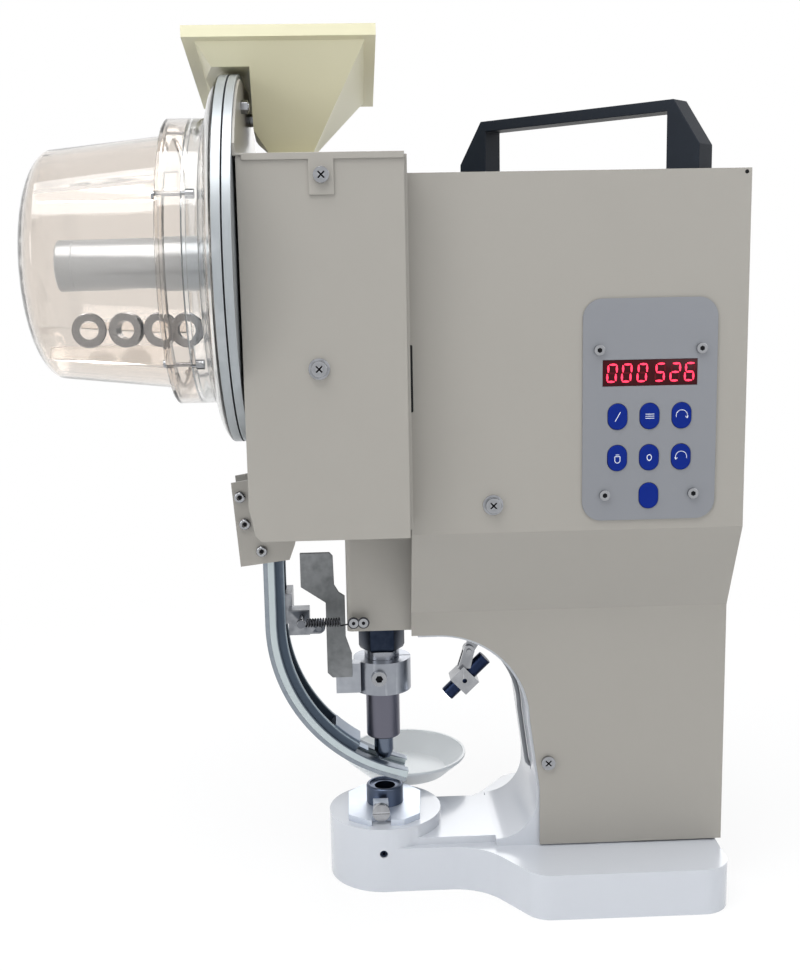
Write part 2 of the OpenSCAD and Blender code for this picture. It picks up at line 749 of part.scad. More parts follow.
// Lamp
module lamp_bracket() {
    color("silver") {
        xz(-8, 8) intersection() {
            translate([throat_cx, throat_cz]) difference() {
                circle(throat_r - 0.05);
                circle(throat_r - 1.8);
            }
            translate([throat_cx, throat_cz]) polygon([[0, 0], 90 * [cos(47), sin(47)],
                90 * [cos(67), sin(67)]]);
        }
        xz(-2, 2) {
            translate(lamp_pivot) circle(4.5);
            polygon([lamp_pivot + [-3, 3.3], lamp_pivot + [4, -2], throat_c2(54), throat_c2(62)]);
        }
        rod_y(2, -7, 7, lamp_pivot[0], lamp_pivot[1]);
    }
}
function throat_c2(a) = [throat_cx, throat_cz] + (throat_r - 1) * [cos(a), sin(a)];
module lamp_frame() { translate([lamp_c[0], 0, lamp_c[1]]) rotate([0, -lamp_tilt, 0]) children(); }
module lamp_clamp() {
    color("silver") difference() {
        union() {
            lamp_frame() block(-7.5, 7.5, -9, 9, -9, 9);
            for (s = [-1, 1]) xz(s * 3.7 - 1.3, s * 3.7 + 1.3) {
                translate(lamp_pivot) circle(4.5);
                polygon([lamp_pivot + [-4.4, 0], lamp_pivot + [4.4, 0], lamp_c + [5, 9], lamp_c + [-5, 9]]);
            }
        }
        lamp_frame() rod_x(lamp_r + fit, -16, 16, 0, 0);
        rod_y(2 + fit, -9, 9, lamp_pivot[0], lamp_pivot[1]);
        lamp_frame() rod_y(1.9, -10, -5, 0, 0);
    }
}
module lamp_body() {
    color("navy") lamp_frame() rod_x(lamp_r, -19, lamp_len - 19, 0, 0);
}
module lamp_lead() {
    color("gray") {
        tube([for (p = lead_path) [p[0], lead_y, p[1]]], lead_r, [0, 1, 0], 12);
        difference() {
            block(throat_depth - 7, throat_depth + 2, lead_y - 5, lead_y + 5, 104, 114);
            bar(lead_line[0], lead_line[1], lead_r + fit, lead_y, $fn = 24);
            xz(lead_y - 6, lead_y + 6) difference() {
                translate([throat_depth - 20, 90]) square(50);
                throat_shape(-0.05, 0);
            }
        }
    }
}

// Feeder housing
module feeder_box() {
    inner = box_half - sheet;
    color("tan") difference() {
        union() {
            both_sides() {
                xz(-box_half, -inner) polygon([[box_left, box_top], [box_left, box_bottom + 24],
                    [box_left + 4, box_bottom + 4], [box_left + 8, box_bottom], [box_right, box_bottom],
                    [box_right, box_top]]);
                block(box_right - sheet, head_front, 4 - box_half - over, -62, box_bottom + 6, box_top);
                block(box_right - sheet, box_right, -inner - over, 6 - box_half, box_bottom + 6, box_top);
            }
            block(box_left, box_left + sheet, -inner - over, inner + over, wall_bottom, box_top);
            rod_y(m6 + 3, -inner - 0.5, inner + 0.5, stay[0], stay[1]);
        }
        both_sides() rod_y(m6 + fit, inner - 14, box_half + over, stay[0], stay[1]);
        both_sides() rod_y(m6 + 0.2, inner - over, box_half + over, tab_screw[0], tab_screw[1]);
        rod_x(10, box_left - over, box_left + 3, 0, drum_z);
        block(box_left - over, box_left + 3, chute_y - 18, chute_y + 18, 517, 560);
        block(box_left - over, box_left + 3, -outlet_half, outlet_half, outlet_z[0], outlet_z[1]);
    }
}
module feeder_lid() {
    reach = box_half + sheet;
    color("tan") difference() {
        union() {
            block(plate_x, box_right, -reach, reach, box_top, lid_top);
            both_sides() {
                block(box_left + 4, box_right, -reach, -box_half, box_top - 3, lid_top);
                block(tab_screw[0] - 8.5, tab_screw[0] + 8.5, -reach, -box_half, tab_screw[1] - 13, lid_top);
            }
            yz(plate_x, box_left) intersection() {
                translate([0, drum_z]) circle(disc_r - 2, $fn = 128);
                translate([-reach, box_top]) square([2 * reach, 60]);
            }
        }
        both_sides() rod_y(m6 + 0.2, box_half - over, reach + over, tab_screw[0], tab_screw[1]);
        both_sides() rod_x(m6 + 0.2, plate_x - over, box_left + over, 40, drum_z + 109);
        block(funnel_x - throat_half - 5, funnel_x + throat_half + 3, chute_y - throat_half - 3,
            chute_y + throat_half + 3, box_top - over, lid_top + over);
    }
}
module notch(grow) {
    top = drum_z + disc_r + 3 + grow;
    polygon([[-150, funnel_low - 30], [-150, top], [30, top], [95, top - 33], [150, top - 33],
        [150, funnel_low - 30]]);
}
module funnel() {
    wall = funnel_wall;
    far_top = mouth_top - mouth_fall;
    function rim(g, dz) = [for (s = [[-1, -1], [1, -1], [1, 1], [-1, 1]])
        [funnel_x - 4.5 + s[0] * (mouth_x / 2 + g), chute_y + 5 + s[1] * (mouth_y / 2 + g),
            (s[1] < 0 ? mouth_top : far_top) + dz]];
    function spout(g, over_x) = let (x = plate_x - 5.5 - over_x)
        [[x, chute_y - 14 + g, 522 - g], [x, chute_y + 14 - g, 522 - g],
            [x, chute_y + 14 - g, 549 + g], [x, chute_y - 14 + g, 549 + g]];
    function spout_mouth(g, z) = [[funnel_x + throat_half - g, chute_y - throat_half + g, z],
        [funnel_x + throat_half - g, chute_y + throat_half - g, z],
        [funnel_x - throat_half + g, chute_y + throat_half - g, z],
        [funnel_x - throat_half + g, chute_y - throat_half + g, z]];
    color("beige") difference() {
        union() {
            tapered_box(level(funnel_x, chute_y, throat_half + wall, throat_half + wall, funnel_low),
                rim(0, 0));
            tapered_box(rim(wall, -8), rim(wall, 0));
            block(funnel_x - throat_half - wall, funnel_x + throat_half + wall, chute_y - throat_half - wall,
                chute_y + throat_half + wall, lid_top - 1, funnel_low + 0.5);
            block(funnel_x - throat_half - 11, funnel_x + throat_half + 11, chute_y - throat_half - 11,
                chute_y + throat_half + 11, lid_top, lid_top + 2.5);
            tapered_box(spout(-2, 0), spout_mouth(-2, lid_top - 0.5));
        }
        difference() {
            tapered_box(level(funnel_x, chute_y, throat_half, throat_half, funnel_low - 0.5),
                rim(-wall, 0.6));
            yz(-200, funnel_notch + wall) notch(wall);
        }
        yz(-200, funnel_notch) notch(0);
        block(funnel_x - throat_half, funnel_x + throat_half, chute_y - throat_half, chute_y + throat_half,
            lid_top - 2, funnel_low);
        tapered_box(spout(0, 1), spout_mouth(0, lid_top));
    }
}
module back_plate() {
    color("silver") difference() {
        rod_x(disc_r, plate_x - disc_t, plate_x, 0, drum_z, $fn = 128);
        rod_x(10, plate_x - disc_t - over, plate_x + over, 0, drum_z);
        block(plate_x - disc_t - over, plate_x + over, chute_y - 18, chute_y + 18, 517, 557);
        block(plate_x - disc_t - over, plate_x + over, -outlet_half, outlet_half, outlet_z[0], outlet_z[1]);
        both_sides() rod_x(m6 + fit, plate_x - 4, plate_x + over, 40, drum_z + 109);
    }
}
module feed_chute() {
    x0 = box_left + sheet;
    wide = channel_half + 3.1;
    color("lightsteelblue") intersection() {
        difference() {
            block(x0, x0 + 15.5, -wide, wide, box_bottom - 14, wall_bottom + 12);
            block(x0 + 3, x0 + 12.5, -channel_half, channel_half, box_bottom - 20, wall_bottom + 13);
            block(x0 + 12, x0 + 16, -strip_half, strip_half, box_bottom - 20, wall_bottom + 13);
            block(x0 - over, x0 + 4, -channel_half, channel_half, outlet_z[0], outlet_z[1]);
        }
        rod_y(joint_r - 0.4, -20, 20, pivot[0], pivot[1], $fn = 128);
    }
}
module drum_motor() {
    color("dimgray") difference() {
        union() {
            rod_x(25, box_left + sheet, box_left + sheet + 58, 0, drum_z);
            rod_x(9, plate_x - 2, box_left + sheet + 1, 0, drum_z);
        }
        rod_x(shaft_r + run_gap, plate_x - 3, box_left + sheet + 40, 0, drum_z);
    }
}
module pivot_block() {
    color("gray") {
        difference() {
            union() {
                block(-neck_x / 2, -ram_r - 2, -14, 14, neck_top, pivot[1] + 8);
                block(pivot[0] - 9, -ram_r - 2, -14, 14, pivot[1] - 8, pivot[1] + 8);
            }
            rod_y(4 + fit, -15, 15, pivot[0], pivot[1]);
        }
        rod_y(4, -19.6, 19.6, pivot[0], pivot[1]);
        both_sides() rod_y(6.5, channel_half + 3.5 + cheek_t + 0.4, channel_half + cheek_t + 6.4, pivot[0],
            pivot[1]);
    }
}

// Drum
module drum_disc() {
    color("lightgray") difference() {
        turned_x(drum_z) polygon([[shaft_r + fit, disc_back], [shaft_r + fit, disc_front],
            [disc_r - 4, disc_front], [disc_r - 5, disc_front - 1.8], [disc_r - 12.5, disc_front - 10],
            [disc_r - 23.5, disc_front - 18], [ring_r + 1, flare_x + 3], [flare_r, flare_x + 3],
            [flare_r, flare_x], [ring_r + 2, flare_x], [disc_r - 22, flare_x + 3.5],
            [disc_r - 10, disc_front - 12], [disc_r - 2, disc_front - 3.5], [disc_r, disc_front],
            [disc_r, disc_back]]);
        for (i = [0:5]) rotate_drum(60 * i) rod_x(window_r, disc_front - over, disc_back + over, window_pcr, 0);
        for (i = [0:4]) rotate_drum(72 * i + 153) rod_x(1.6, flare_x - over, flare_x + 4, tie_r, 0);
    }
}
// Places its children on the drum axis, turned about it by an angle from +Y towards +Z
module rotate_drum(a) { translate([0, 0, drum_z]) rotate([a, 0, 0]) children(); }
module clear_ring() {
    color("azure", 0.4) difference() {
        turned_x(drum_z) polygon([[ring_r, flare_x - 0.05], [ring_r, ring_x + 1], [ring_r - 1, ring_x],
            [bowl_r + 1.8, ring_x], [bowl_r + 1.8, ring_x + 2.5], [ring_r - ring_wall, ring_x + 2.5],
            [ring_r - ring_wall, flare_x - 0.05]]);
        for (i = [0:4]) rotate_drum(72 * i + 153) rod_x(1.6, ring_x - over, ring_x + 3, tie_r, 0);
    }
}
dome_x = bowl_x + 2.5 - bowl_len + 12;
function dome(r, depth) = [for (i = [0:9]) let (a = 9 + 9 * i)
    [r * pow(max(cos(a), 0), 0.55), dome_x - depth * pow(sin(a), 1.3)]];
module clear_bowl() {
    lip = bowl_x + 2.5;
    taper = (bowl_r - bowl_end_r) / (bowl_x - dome_x);
    color("azure", 0.4) difference() {
        union() {
            turned_x(drum_z) difference() {
                polygon(concat([[0, lip], [ring_r - ring_wall - 0.4, lip], [ring_r - ring_wall - 0.4, bowl_x],
                    [bowl_r, bowl_x], [bowl_end_r, dome_x]], dome(bowl_end_r, 20)));
                polygon(concat([[-1, lip + over], [bowl_r - bowl_wall, lip + over],
                    [bowl_r - bowl_wall, bowl_x], [bowl_end_r - bowl_wall, dome_x]],
                    dome(bowl_end_r - bowl_wall, 20 - bowl_wall), [[-1, dome_x - 20 + bowl_wall]]));
            }
            for (i = [0:3]) rotate_drum(90 * i + 53) xy(-1.5, 1.5) rotate(180) polygon([
                [-dome_x, -73], [-bowl_x + 5, -73], [-bowl_x + 5, 1 - bowl_r - taper * 5],
                [-dome_x, 1 - bowl_end_r]]);
        }
        for (i = [0:4]) rotate_drum(72 * i + 153) rod_x(1.6, bowl_x - over, lip + over, tie_r, 0);
    }
}
module drum_hub() {
    end = bowl_x - 90;
    color("lightsteelblue") turned_x(drum_z) polygon([[0, end], [hub_r - 1, end], [hub_r, end + 1],
        [hub_r, end + 12], [hub_r - 0.4, end + 12.4], [hub_r, end + 12.8], [hub_r, end + 77],
        [hub_r + 1.5, end + 77], [hub_r + 1.5, disc_front - 14], [hub_r, disc_front - 14],
        [hub_r, disc_front], [shaft_r, disc_front], [shaft_r, box_left + sheet + 38],
        [0, box_left + sheet + 38]]);
}
module tie_screws() {
    color("silver") for (i = [0:4]) rotate_drum(72 * i + 153) {
        rod_x(1.5, ring_x - 0.5, flare_x + 9, tie_r, 0, $fn = 24);
        rod_x(2.9, ring_x - 2.4, ring_x, tie_r, 0, $fn = 24);
        rod_x(3.4, flare_x + 3, flare_x + 9, tie_r, 0, $fn = 24);
    }
}
module eyelet(x, y, z, yaw) {
    translate([x, y, z]) rotate([0, 0, yaw]) rotate([-90, 0, 0]) rotate_extrude($fn = 48)
        polygon([[6.6, 0], [eyelet_r - 0.8, 0], [eyelet_r, 0.8], [eyelet_r - 0.8, 1.6], [7.6, 1.6],
            [7.6, 6], [6.6, 6]]);
}
// Where the face of an eyelet that stands on the wall at x lies, a drop below the axis
function bowl_inside(x) = bowl_r - bowl_wall - (bowl_r - bowl_end_r) * (bowl_x - x) / (bowl_x - dome_x);
function seat(x, drop) = -sqrt(pow(bowl_inside(x) - 0.4, 2) - pow(drop + eyelet_r, 2));
module loose_eyelets() {
    drop = 46.1;
    low = drum_z - drop;
    xs = [ring_x - 55, ring_x - 29, ring_x - 3];
    color("gray") {
        for (i = [0:2]) eyelet(xs[i], seat(xs[i], drop), low, [12, -8, 4][i]);
        eyelet(xs[1] + 0.9, seat(xs[1], drop) + 6.4, low, -8);
        eyelet(ring_x + 16, -75, low - 0.5, -6);
    }
}

// Track
module track_band(t0, t1, a0, a1) {
    far = 2 * track_r;
    intersection() {
        translate(track_c) difference() {
            circle(track_r - t0, $fn = 180);
            circle(track_r - t1, $fn = 180);
        }
        translate(track_c) polygon([[0, 0], far * [cos(a0), sin(a0)], far * [cos((a0 + a1) / 2),
            sin((a0 + a1) / 2)], far * [cos(a1), sin(a1)]]);
    }
}
module track_profile(t0, t1, end) {
    a = 180 + track_turn;
    track_band(t0, t1, 180, a);
    translate([track_left + t0, track_c[1] - eps]) square([t1 - t0, 300 - track_c[1]]);
    if (end) translate(track_c + track_r * [cos(a), sin(a)]) rotate(track_turn - 90)
        translate([-eps, t0]) square([track_end, t1 - t0]);
}
module track_cut() {
    rod_y(joint_r + 0.4, -30, 30, pivot[0], pivot[1], $fn = 128);
    rod_z(fork_r, 40, 150, fork_x, 0);
    block(fork_x, 60, -fork_r, fork_r, 40, 150);
}
module track_rail() {
    color("lightgray") difference() {
        xz(-track_w / 2, track_w / 2) track_profile(0, rail_t, true);
        track_cut();
    }
}
module track_sides() {
    h = track_w / 2;
    t1 = rail_t + bar_t;
    t2 = t1 + strip_t;
    color("slategray") difference() {
        both_sides() {
            xz(-h, -channel_half) track_profile(rail_t, t1 + eps, true);
            xz(-h, -strip_half) track_profile(t1, t2, true);
            xz(-channel_half - 1.5, 1.5 - channel_half) {
                track_band(t2 - eps, t2 + web_t, 180, 238);
                translate([track_left + t2 - eps, track_c[1] - eps]) square([web_t + eps, 300 - track_c[1]]);
            }
        }
        track_cut();
    }
}
module swing_bracket() {
    inner = track_w / 2;
    edge = [[-108.5, 262], [-113.5, 328]];
    color("tan") difference() {
        union() {
            both_sides() xz(inner, inner + cheek_t) {
                polygon([edge[0], [-70.5, 266.5], [-66, 278.5], [-60, 306], [-34, 337], [-44, 354],
                    [-70, 351], [-96, 331], edge[1]]);
                translate(pivot) circle(9);
            }
            xz(-inner - eps, inner + eps) polygon([edge[0], edge[0] + [2, 0], [-108.4, 287], [-110.4, 287]]);
            both_sides() for (p = [[-106.9, 317.2], [-103.9, 296], [-91.7, 274.3]])
                rod_y(3.4, inner + cheek_t - 0.5, inner + cheek_t + 2.4, p[0], p[1]);
        }
        rod_y(4 + run_gap, -30, 30, pivot[0], pivot[1]);
    }
}
module roller_arm() {
    back = track_left + rail_t + bar_t + strip_t + web_t;
    color("silver") {
        block(back, back + 5.5, -channel_half - 1.5, channel_half + 1.5, 214, 238);
        block(back + 3, roller_c[0] - 7, -27, 1.5 - channel_half, 208, 228);
        for (y = [-27, -16.7]) xz(y, y + 2.2) {
            translate(roller_c) circle(4.4);
            translate([roller_c[0] - 9, roller_c[1] - 4.4]) square([9, 8.8]);
        }
        rod_y(post_r, spring_y - 3, -26, spring_post_x, spring_z);
        rod_y(post_r + 1.2, spring_y - 4.5, spring_y - 3, spring_post_x, spring_z);
        rod_y(2.2, -28.5, -14, roller_c[0], roller_c[1]);
    }
}
module track_roller() {
    color("dimgray") difference() {
        rod_y(roller_r, -24.4, -17.1, roller_c[0], roller_c[1]);
        rod_y(2.2 + run_gap, -30, -10, roller_c[0], roller_c[1]);
    }
}
module gate_finger() {
    t = rail_t + bar_t + strip_t;
    color("lightsteelblue") {
        xz(1.9 - channel_half, channel_half - 1.9) track_band(t, t + 8, 226, 238);
        xz(-5, 5) track_band(t + 1, t + 2, 237, 243);
    }
}

// Rear
module rear_inlets() {
    x = head_rear;
    color("black") {
        difference() {
            union() {
                block(x - 20, x, -19, 5, 67, 93);
                block(x, x + 2, -23, 9, 62, 98);
            }
            block(x - 8, x + 3, -18, 4, 73, 87);
        }
        difference() {
            union() {
                rod_x(7.6, x - 20, x, -20, 120);
                rod_x(11, x, x + 2, -20, 120);
            }
            rod_x(5.5, x - 8, x + 3, -20, 120);
        }
        difference() {
            union() {
                block(x - 16, x, 8.3, 27.7, 103.3, 128.7);
                block(x, x + 2, 5, 31, 100, 132);
            }
            block(x - 10, x + 3, 10, 26, 104.5, 127.5);
            rod_y(1.5 + fit, 7, 29, x + rocker_c[0], rocker_c[2]);
        }
    }
}
module rocker_switch() {
    color("firebrick") translate([head_rear + rocker_c[0], 0, rocker_c[2]]) rotate([0, -rocker_rest, 0]) {
        xz(10.6, 25.4) polygon([[-4, -6], [2.2, -10.4], [3.6, -10], [1.4, 0], [3.6, 10], [2.2, 10.4], [-4, 6]]);
        rod_y(1.5, 8.5, 27.5, 0, 0);
    }
}
module pan_screw(r, head, len) {
    difference() {
        union() {
            rod_y(r, -1, len, 0, 0);
            rod_y(head, -0.62 * head, 0, 0, 0);
        }
        for (a = [45, 135]) rotate([0, a, 0]) block(-0.55 * head, 0.55 * head, -head, -0.3 * head,
            -0.5, 0.5);
    }
}
module body_screws() {
    color("silver") {
        both_sides() {
            translate([pillar_screw[0], -pillar_half, pillar_screw[1]]) pan_screw(m6, 5.5, 16);
            translate([head_screw[0], -head_half, head_screw[1]]) {
                rod_y(7.5, -1.2, 0, 0, 0);
                translate([0, -1.2, 0]) pan_screw(m6, 5.5, 18);
            }
            translate([stay[0], -box_half, stay[1]]) {
                rod_y(7.5, -1.2, 0, 0, 0);
                translate([0, -1.2, 0]) pan_screw(m6, 5.5, 14);
            }
            translate([tab_screw[0], -box_half - sheet, tab_screw[1]]) {
                pan_screw(m6, 5.5, 8);
                rod_y(5, 2 * sheet, 2 * sheet + 4, 0, 0);
            }
            rod_x(m6, plate_x - 3.5, box_left + 6, 40, drum_z + 109);
            rod_x(5, box_left, box_left + 5, 40, drum_z + 109, $fn = 6);
        }
        for (s = [-1, 1]) translate([handle_c[0], handle_c[1], head_top]) rotate(-handle_turn)
            translate([s * (handle_len - handle_leg) / 2, 0, 0]) {
                rod_z(m6, -sheet - 1, 12);
                rod_z(5.5, -sheet - 3.4, -sheet);
            }
        for (x = anchor_x) {
            rod_y(m4, spring_y - 4, 6 - neck_y / 2, x, spring_z);
            rod_y(3.6, spring_y - 5.5, spring_y - 3, x, spring_z);
        }
    }
}

frame_casting();
ram_housing();
guide_bushes();
cover_near();
cover_far();
cover_top_rear();
carry_handle();
control_panel();
panel_screws();
display_board();
power_supply();
gear_motor();
crank_bearings();
feeder_box();
feeder_lid();
funnel();
back_plate();
feed_chute();
drum_motor();
pivot_block();
anvil_plate();
lower_die();
dish();
lamp_bracket();
lamp_lead();
return_spring();
rear_inlets();
body_screws();
ram();
ram_nut();
clamp_collar();
collar_screw();
cam_plate();
die_sleeve();
locating_pin();
pin_spring();
crank_shaft();
drum_disc();
clear_ring();
clear_bowl();
drum_hub();
tie_screws();
loose_eyelets();
track_rail();
track_sides();
swing_bracket();
roller_arm();
track_roller();
gate_finger();
thumb_screw();
lamp_body();
lamp_clamp();
rocker_switch();
key_feed();
key_menu();
key_forward();
key_lamp();
key_zero();
key_reverse();
key_jog();
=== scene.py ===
import json
import math

import bmesh
import bpy
from mathutils import Matrix, Vector

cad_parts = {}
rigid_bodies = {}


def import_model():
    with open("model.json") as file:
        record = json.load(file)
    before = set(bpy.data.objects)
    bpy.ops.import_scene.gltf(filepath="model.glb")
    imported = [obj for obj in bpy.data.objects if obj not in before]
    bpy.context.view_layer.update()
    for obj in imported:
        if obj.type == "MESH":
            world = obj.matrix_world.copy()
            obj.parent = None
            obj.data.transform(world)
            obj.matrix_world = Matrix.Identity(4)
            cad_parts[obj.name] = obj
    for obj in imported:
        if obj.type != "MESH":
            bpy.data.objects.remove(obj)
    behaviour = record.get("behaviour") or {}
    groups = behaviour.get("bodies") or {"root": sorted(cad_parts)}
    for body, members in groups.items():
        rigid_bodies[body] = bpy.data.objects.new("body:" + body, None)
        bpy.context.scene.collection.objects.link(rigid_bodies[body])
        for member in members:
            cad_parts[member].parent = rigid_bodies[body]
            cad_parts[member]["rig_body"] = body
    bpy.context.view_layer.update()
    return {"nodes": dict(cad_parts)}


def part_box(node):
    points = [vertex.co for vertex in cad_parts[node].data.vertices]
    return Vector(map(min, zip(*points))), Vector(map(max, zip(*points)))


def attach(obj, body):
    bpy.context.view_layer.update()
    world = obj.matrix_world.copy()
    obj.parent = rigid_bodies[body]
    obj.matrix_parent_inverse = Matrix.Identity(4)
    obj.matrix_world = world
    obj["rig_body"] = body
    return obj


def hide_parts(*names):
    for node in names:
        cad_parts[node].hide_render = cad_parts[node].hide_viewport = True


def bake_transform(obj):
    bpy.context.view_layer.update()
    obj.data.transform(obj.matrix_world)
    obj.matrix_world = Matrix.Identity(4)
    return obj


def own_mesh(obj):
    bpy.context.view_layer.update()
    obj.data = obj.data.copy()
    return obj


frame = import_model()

NODES = frame["nodes"]

# ----------------------------------------------------------------------
# The room: a large white table top under a white studio wall, soft lamps overhead and in front,
# and a camera at eye height, a metre before the machine and a little to its left.
FLOOR_SIZE, FLOOR_DROP = 12.0, 0.0002
FLOOR_LIFT, LIFT_NEAR, LIFT_FAR = 0.86, 0.35, 0.95
ROOM_TINT, ROOM_STRENGTH = (0.93, 0.965, 1, 1), 0.64


def light_path(tree, *rays):
    """One value that is 1 for any of the named kinds of ray."""
    path = tree.nodes.new("ShaderNodeLightPath")
    total = None
    for ray in rays:
        if total is None:
            total = path.outputs[ray]
            continue
        join = tree.nodes.new("ShaderNodeMath")
        join.operation = "MAXIMUM"
        tree.links.new(total, join.inputs[0])
        tree.links.new(path.outputs[ray], join.inputs[1])
        total = join.outputs[0]
    return total


world = bpy.data.worlds.new("white_studio")
bpy.context.scene.world = world
world.use_nodes = True
tree = world.node_tree
tree.nodes.clear()
wall = tree.nodes.new("ShaderNodeBackground")
wall.inputs["Color"].default_value = (1, 1, 1, 1)
wall.inputs["Strength"].default_value = 1.0
room_light = tree.nodes.new("ShaderNodeBackground")
room_light.inputs["Color"].default_value = ROOM_TINT
room_light.inputs["Strength"].default_value = ROOM_STRENGTH
mix = tree.nodes.new("ShaderNodeMixShader")
tree.links.new(light_path(tree, "Is Camera Ray", "Is Glossy Ray", "Is Transmission Ray"),
               mix.inputs["Fac"])
tree.links.new(room_light.outputs[0], mix.inputs[1])
tree.links.new(wall.outputs[0], mix.inputs[2])
tree.links.new(mix.outputs[0], tree.nodes.new("ShaderNodeOutputWorld").inputs["Surface"])

white = bpy.data.materials.new("table_white")
white.use_nodes = True
tree = white.node_tree
tree.nodes.clear()
matt = tree.nodes.new("ShaderNodeBsdfDiffuse")
matt.inputs["Color"].default_value = (0.9, 0.9, 0.9, 1)
glow = tree.nodes.new("ShaderNodeEmission")
glow.inputs["Strength"].default_value = 1.0
lift = tree.nodes.new("ShaderNodeMath")
lift.operation = "MULTIPLY"
away = tree.nodes.new("ShaderNodeVectorMath")
away.operation = "LENGTH"
tree.links.new(tree.nodes.new("ShaderNodeTexCoord").outputs["Object"], away.inputs[0])
fade = tree.nodes.new("ShaderNodeMapRange")
for label, value in (("From Min", LIFT_NEAR), ("From Max", LIFT_FAR), ("To Min", FLOOR_LIFT),
                     ("To Max", 1.0)):
    fade.inputs[label].default_value = value
tree.links.new(away.outputs["Value"], fade.inputs["Value"])
tree.links.new(fade.outputs[0], lift.inputs[1])
mix = tree.nodes.new("ShaderNodeMixShader")
tree.links.new(light_path(tree, "Is Camera Ray", "Is Glossy Ray", "Is Transmission Ray"),
               lift.inputs[0])
tree.links.new(lift.outputs[0], mix.inputs["Fac"])
tree.links.new(matt.outputs[0], mix.inputs[1])
tree.links.new(glow.outputs[0], mix.inputs[2])
tree.links.new(mix.outputs[0], tree.nodes.new("ShaderNodeOutputMaterial").inputs["Surface"])
bm = bmesh.new()
bmesh.ops.create_grid(bm, x_segments=1, y_segments=1, size=FLOOR_SIZE / 2)
mesh = bpy.data.meshes.new("table_top")
bm.to_mesh(mesh)
bm.free()
mesh.materials.append(white)
floor = bpy.data.objects.new("table_top", mesh)
floor.location.z = -FLOOR_DROP
bpy.context.scene.collection.objects.link(floor)

LAMPS = {
    "overhead": ((-0.35, -0.55, 1.9), (0.0, 0.0, 0.3), 1.4, 26.0),
    "front_left": ((-1.8, -1.3, 1.0), (0.0, 0.0, 0.3), 1.0, 8.0),
    "front_right": ((1.3, -1.7, 0.9), (0.1, 0.0, 0.3), 1.1, 4.5),
    "behind": ((0.5, 1.7, 1.2), (0.0, 0.0, 0.3), 1.2, 11.0),
}
for name, (place, target, size, watts) in LAMPS.items():
    lamp = bpy.data.lights.new(name, "AREA")
    lamp.shape = "DISK"
    lamp.size = size
    lamp.energy = watts
    holder = bpy.data.objects.new(name, lamp)
    holder.location = place
    holder.rotation_euler = (Vector(target) - Vector(place)).to_track_quat("-Z", "Y").to_euler()
    bpy.context.scene.collection.objects.link(holder)

CAMERA_PLACE = (-0.02007, -0.971, 0.48405)
SENSOR_WIDTH, LENS_LENGTH = 36.0, 46.34
CAMERA_PITCH, CAMERA_YAW, CAMERA_ROLL = math.radians(9.6), math.radians(2.2), math.radians(-1.1)
level_right = Vector((math.cos(CAMERA_YAW), -math.sin(CAMERA_YAW), 0))
level_ahead = Vector((math.sin(CAMERA_YAW), math.cos(CAMERA_YAW), 0))
ahead = math.cos(CAMERA_PITCH) * level_ahead - math.sin(CAMERA_PITCH) * Vector((0, 0, 1))
above = math.sin(CAMERA_PITCH) * level_ahead + math.cos(CAMERA_PITCH) * Vector((0, 0, 1))
right = math.cos(CAMERA_ROLL) * level_right + math.sin(CAMERA_ROLL) * above
up = math.cos(CAMERA_ROLL) * above - math.sin(CAMERA_ROLL) * level_right
camera = bpy.data.objects.new("camera", bpy.data.cameras.new("camera"))
camera.data.sensor_width = SENSOR_WIDTH
camera.data.lens = LENS_LENGTH
camera.data.clip_start = 0.05
camera.matrix_world = Matrix.Translation(CAMERA_PLACE) @ Matrix(
    (right, up, -ahead)).transposed().to_4x4()
bpy.context.scene.collection.objects.link(camera)
bpy.context.scene.camera = camera
bpy.context.scene.view_settings.view_transform = "Standard"

# ----------------------------------------------------------------------
# The frame casting: one grey-iron casting with the foot, the arm under the dies, the pillar and
# the head's shelf. It is filled, ground and sprayed with glossy white enamel.
MM = 0.001
SMOOTH_UNDER = math.radians(40)


def screen(r, g, b):
    """A colour given as it looks on a screen, 0 to 255, in the values that shaders use."""
    return tuple(((c / 255 + 0.055) / 1.055) ** 2.4 for c in (r, g, b)) + (1.0,)


def new_group(name, inputs, outputs):
    """An empty shader group: inputs are (name, kind, value), outputs are (name, kind)."""
    group = bpy.data.node_groups.new(name, "ShaderNodeTree")
    for label, kind, value in inputs:
        socket = group.interface.new_socket(label, in_out="INPUT", socket_type="NodeSocket" + kind)
        if value is not None:
            socket.default_value = value
    for label, kind in outputs:
        group.interface.new_socket(label, in_out="OUTPUT", socket_type="NodeSocket" + kind)
    return group, group.nodes.new("NodeGroupInput"), group.nodes.new("NodeGroupOutput")


def noise(tree, vector, scale, detail=2.0):
    """A noise texture; scale is a number or a socket."""
    node = tree.nodes.new("ShaderNodeTexNoise")
    node.inputs["Detail"].default_value = detail
    tree.links.new(vector, node.inputs["Vector"])
    if isinstance(scale, (int, float)):
        node.inputs["Scale"].default_value = scale
    else:
        tree.links.new(scale, node.inputs["Scale"])
    return node.outputs["Fac"]


def maths(tree, operation, a, b, clamp=False):
    """A math node on two numbers or sockets."""
    node = tree.nodes.new("ShaderNodeMath")
    node.operation = operation
    node.use_clamp = clamp
    for socket, value in zip(node.inputs, (a, b)):
        if isinstance(value, (int, float)):
            socket.default_value = value
        else:
            tree.links.new(value, socket)
    return node.outputs[0]


def tinted(tree, colour, factor):
    """A colour made lighter or darker by a factor near 1."""
    node = tree.nodes.new("ShaderNodeVectorMath")
    node.operation = "SCALE"
    tree.links.new(colour, node.inputs[0])
    tree.links.new(factor, node.inputs["Scale"])
    return node.outputs[0]


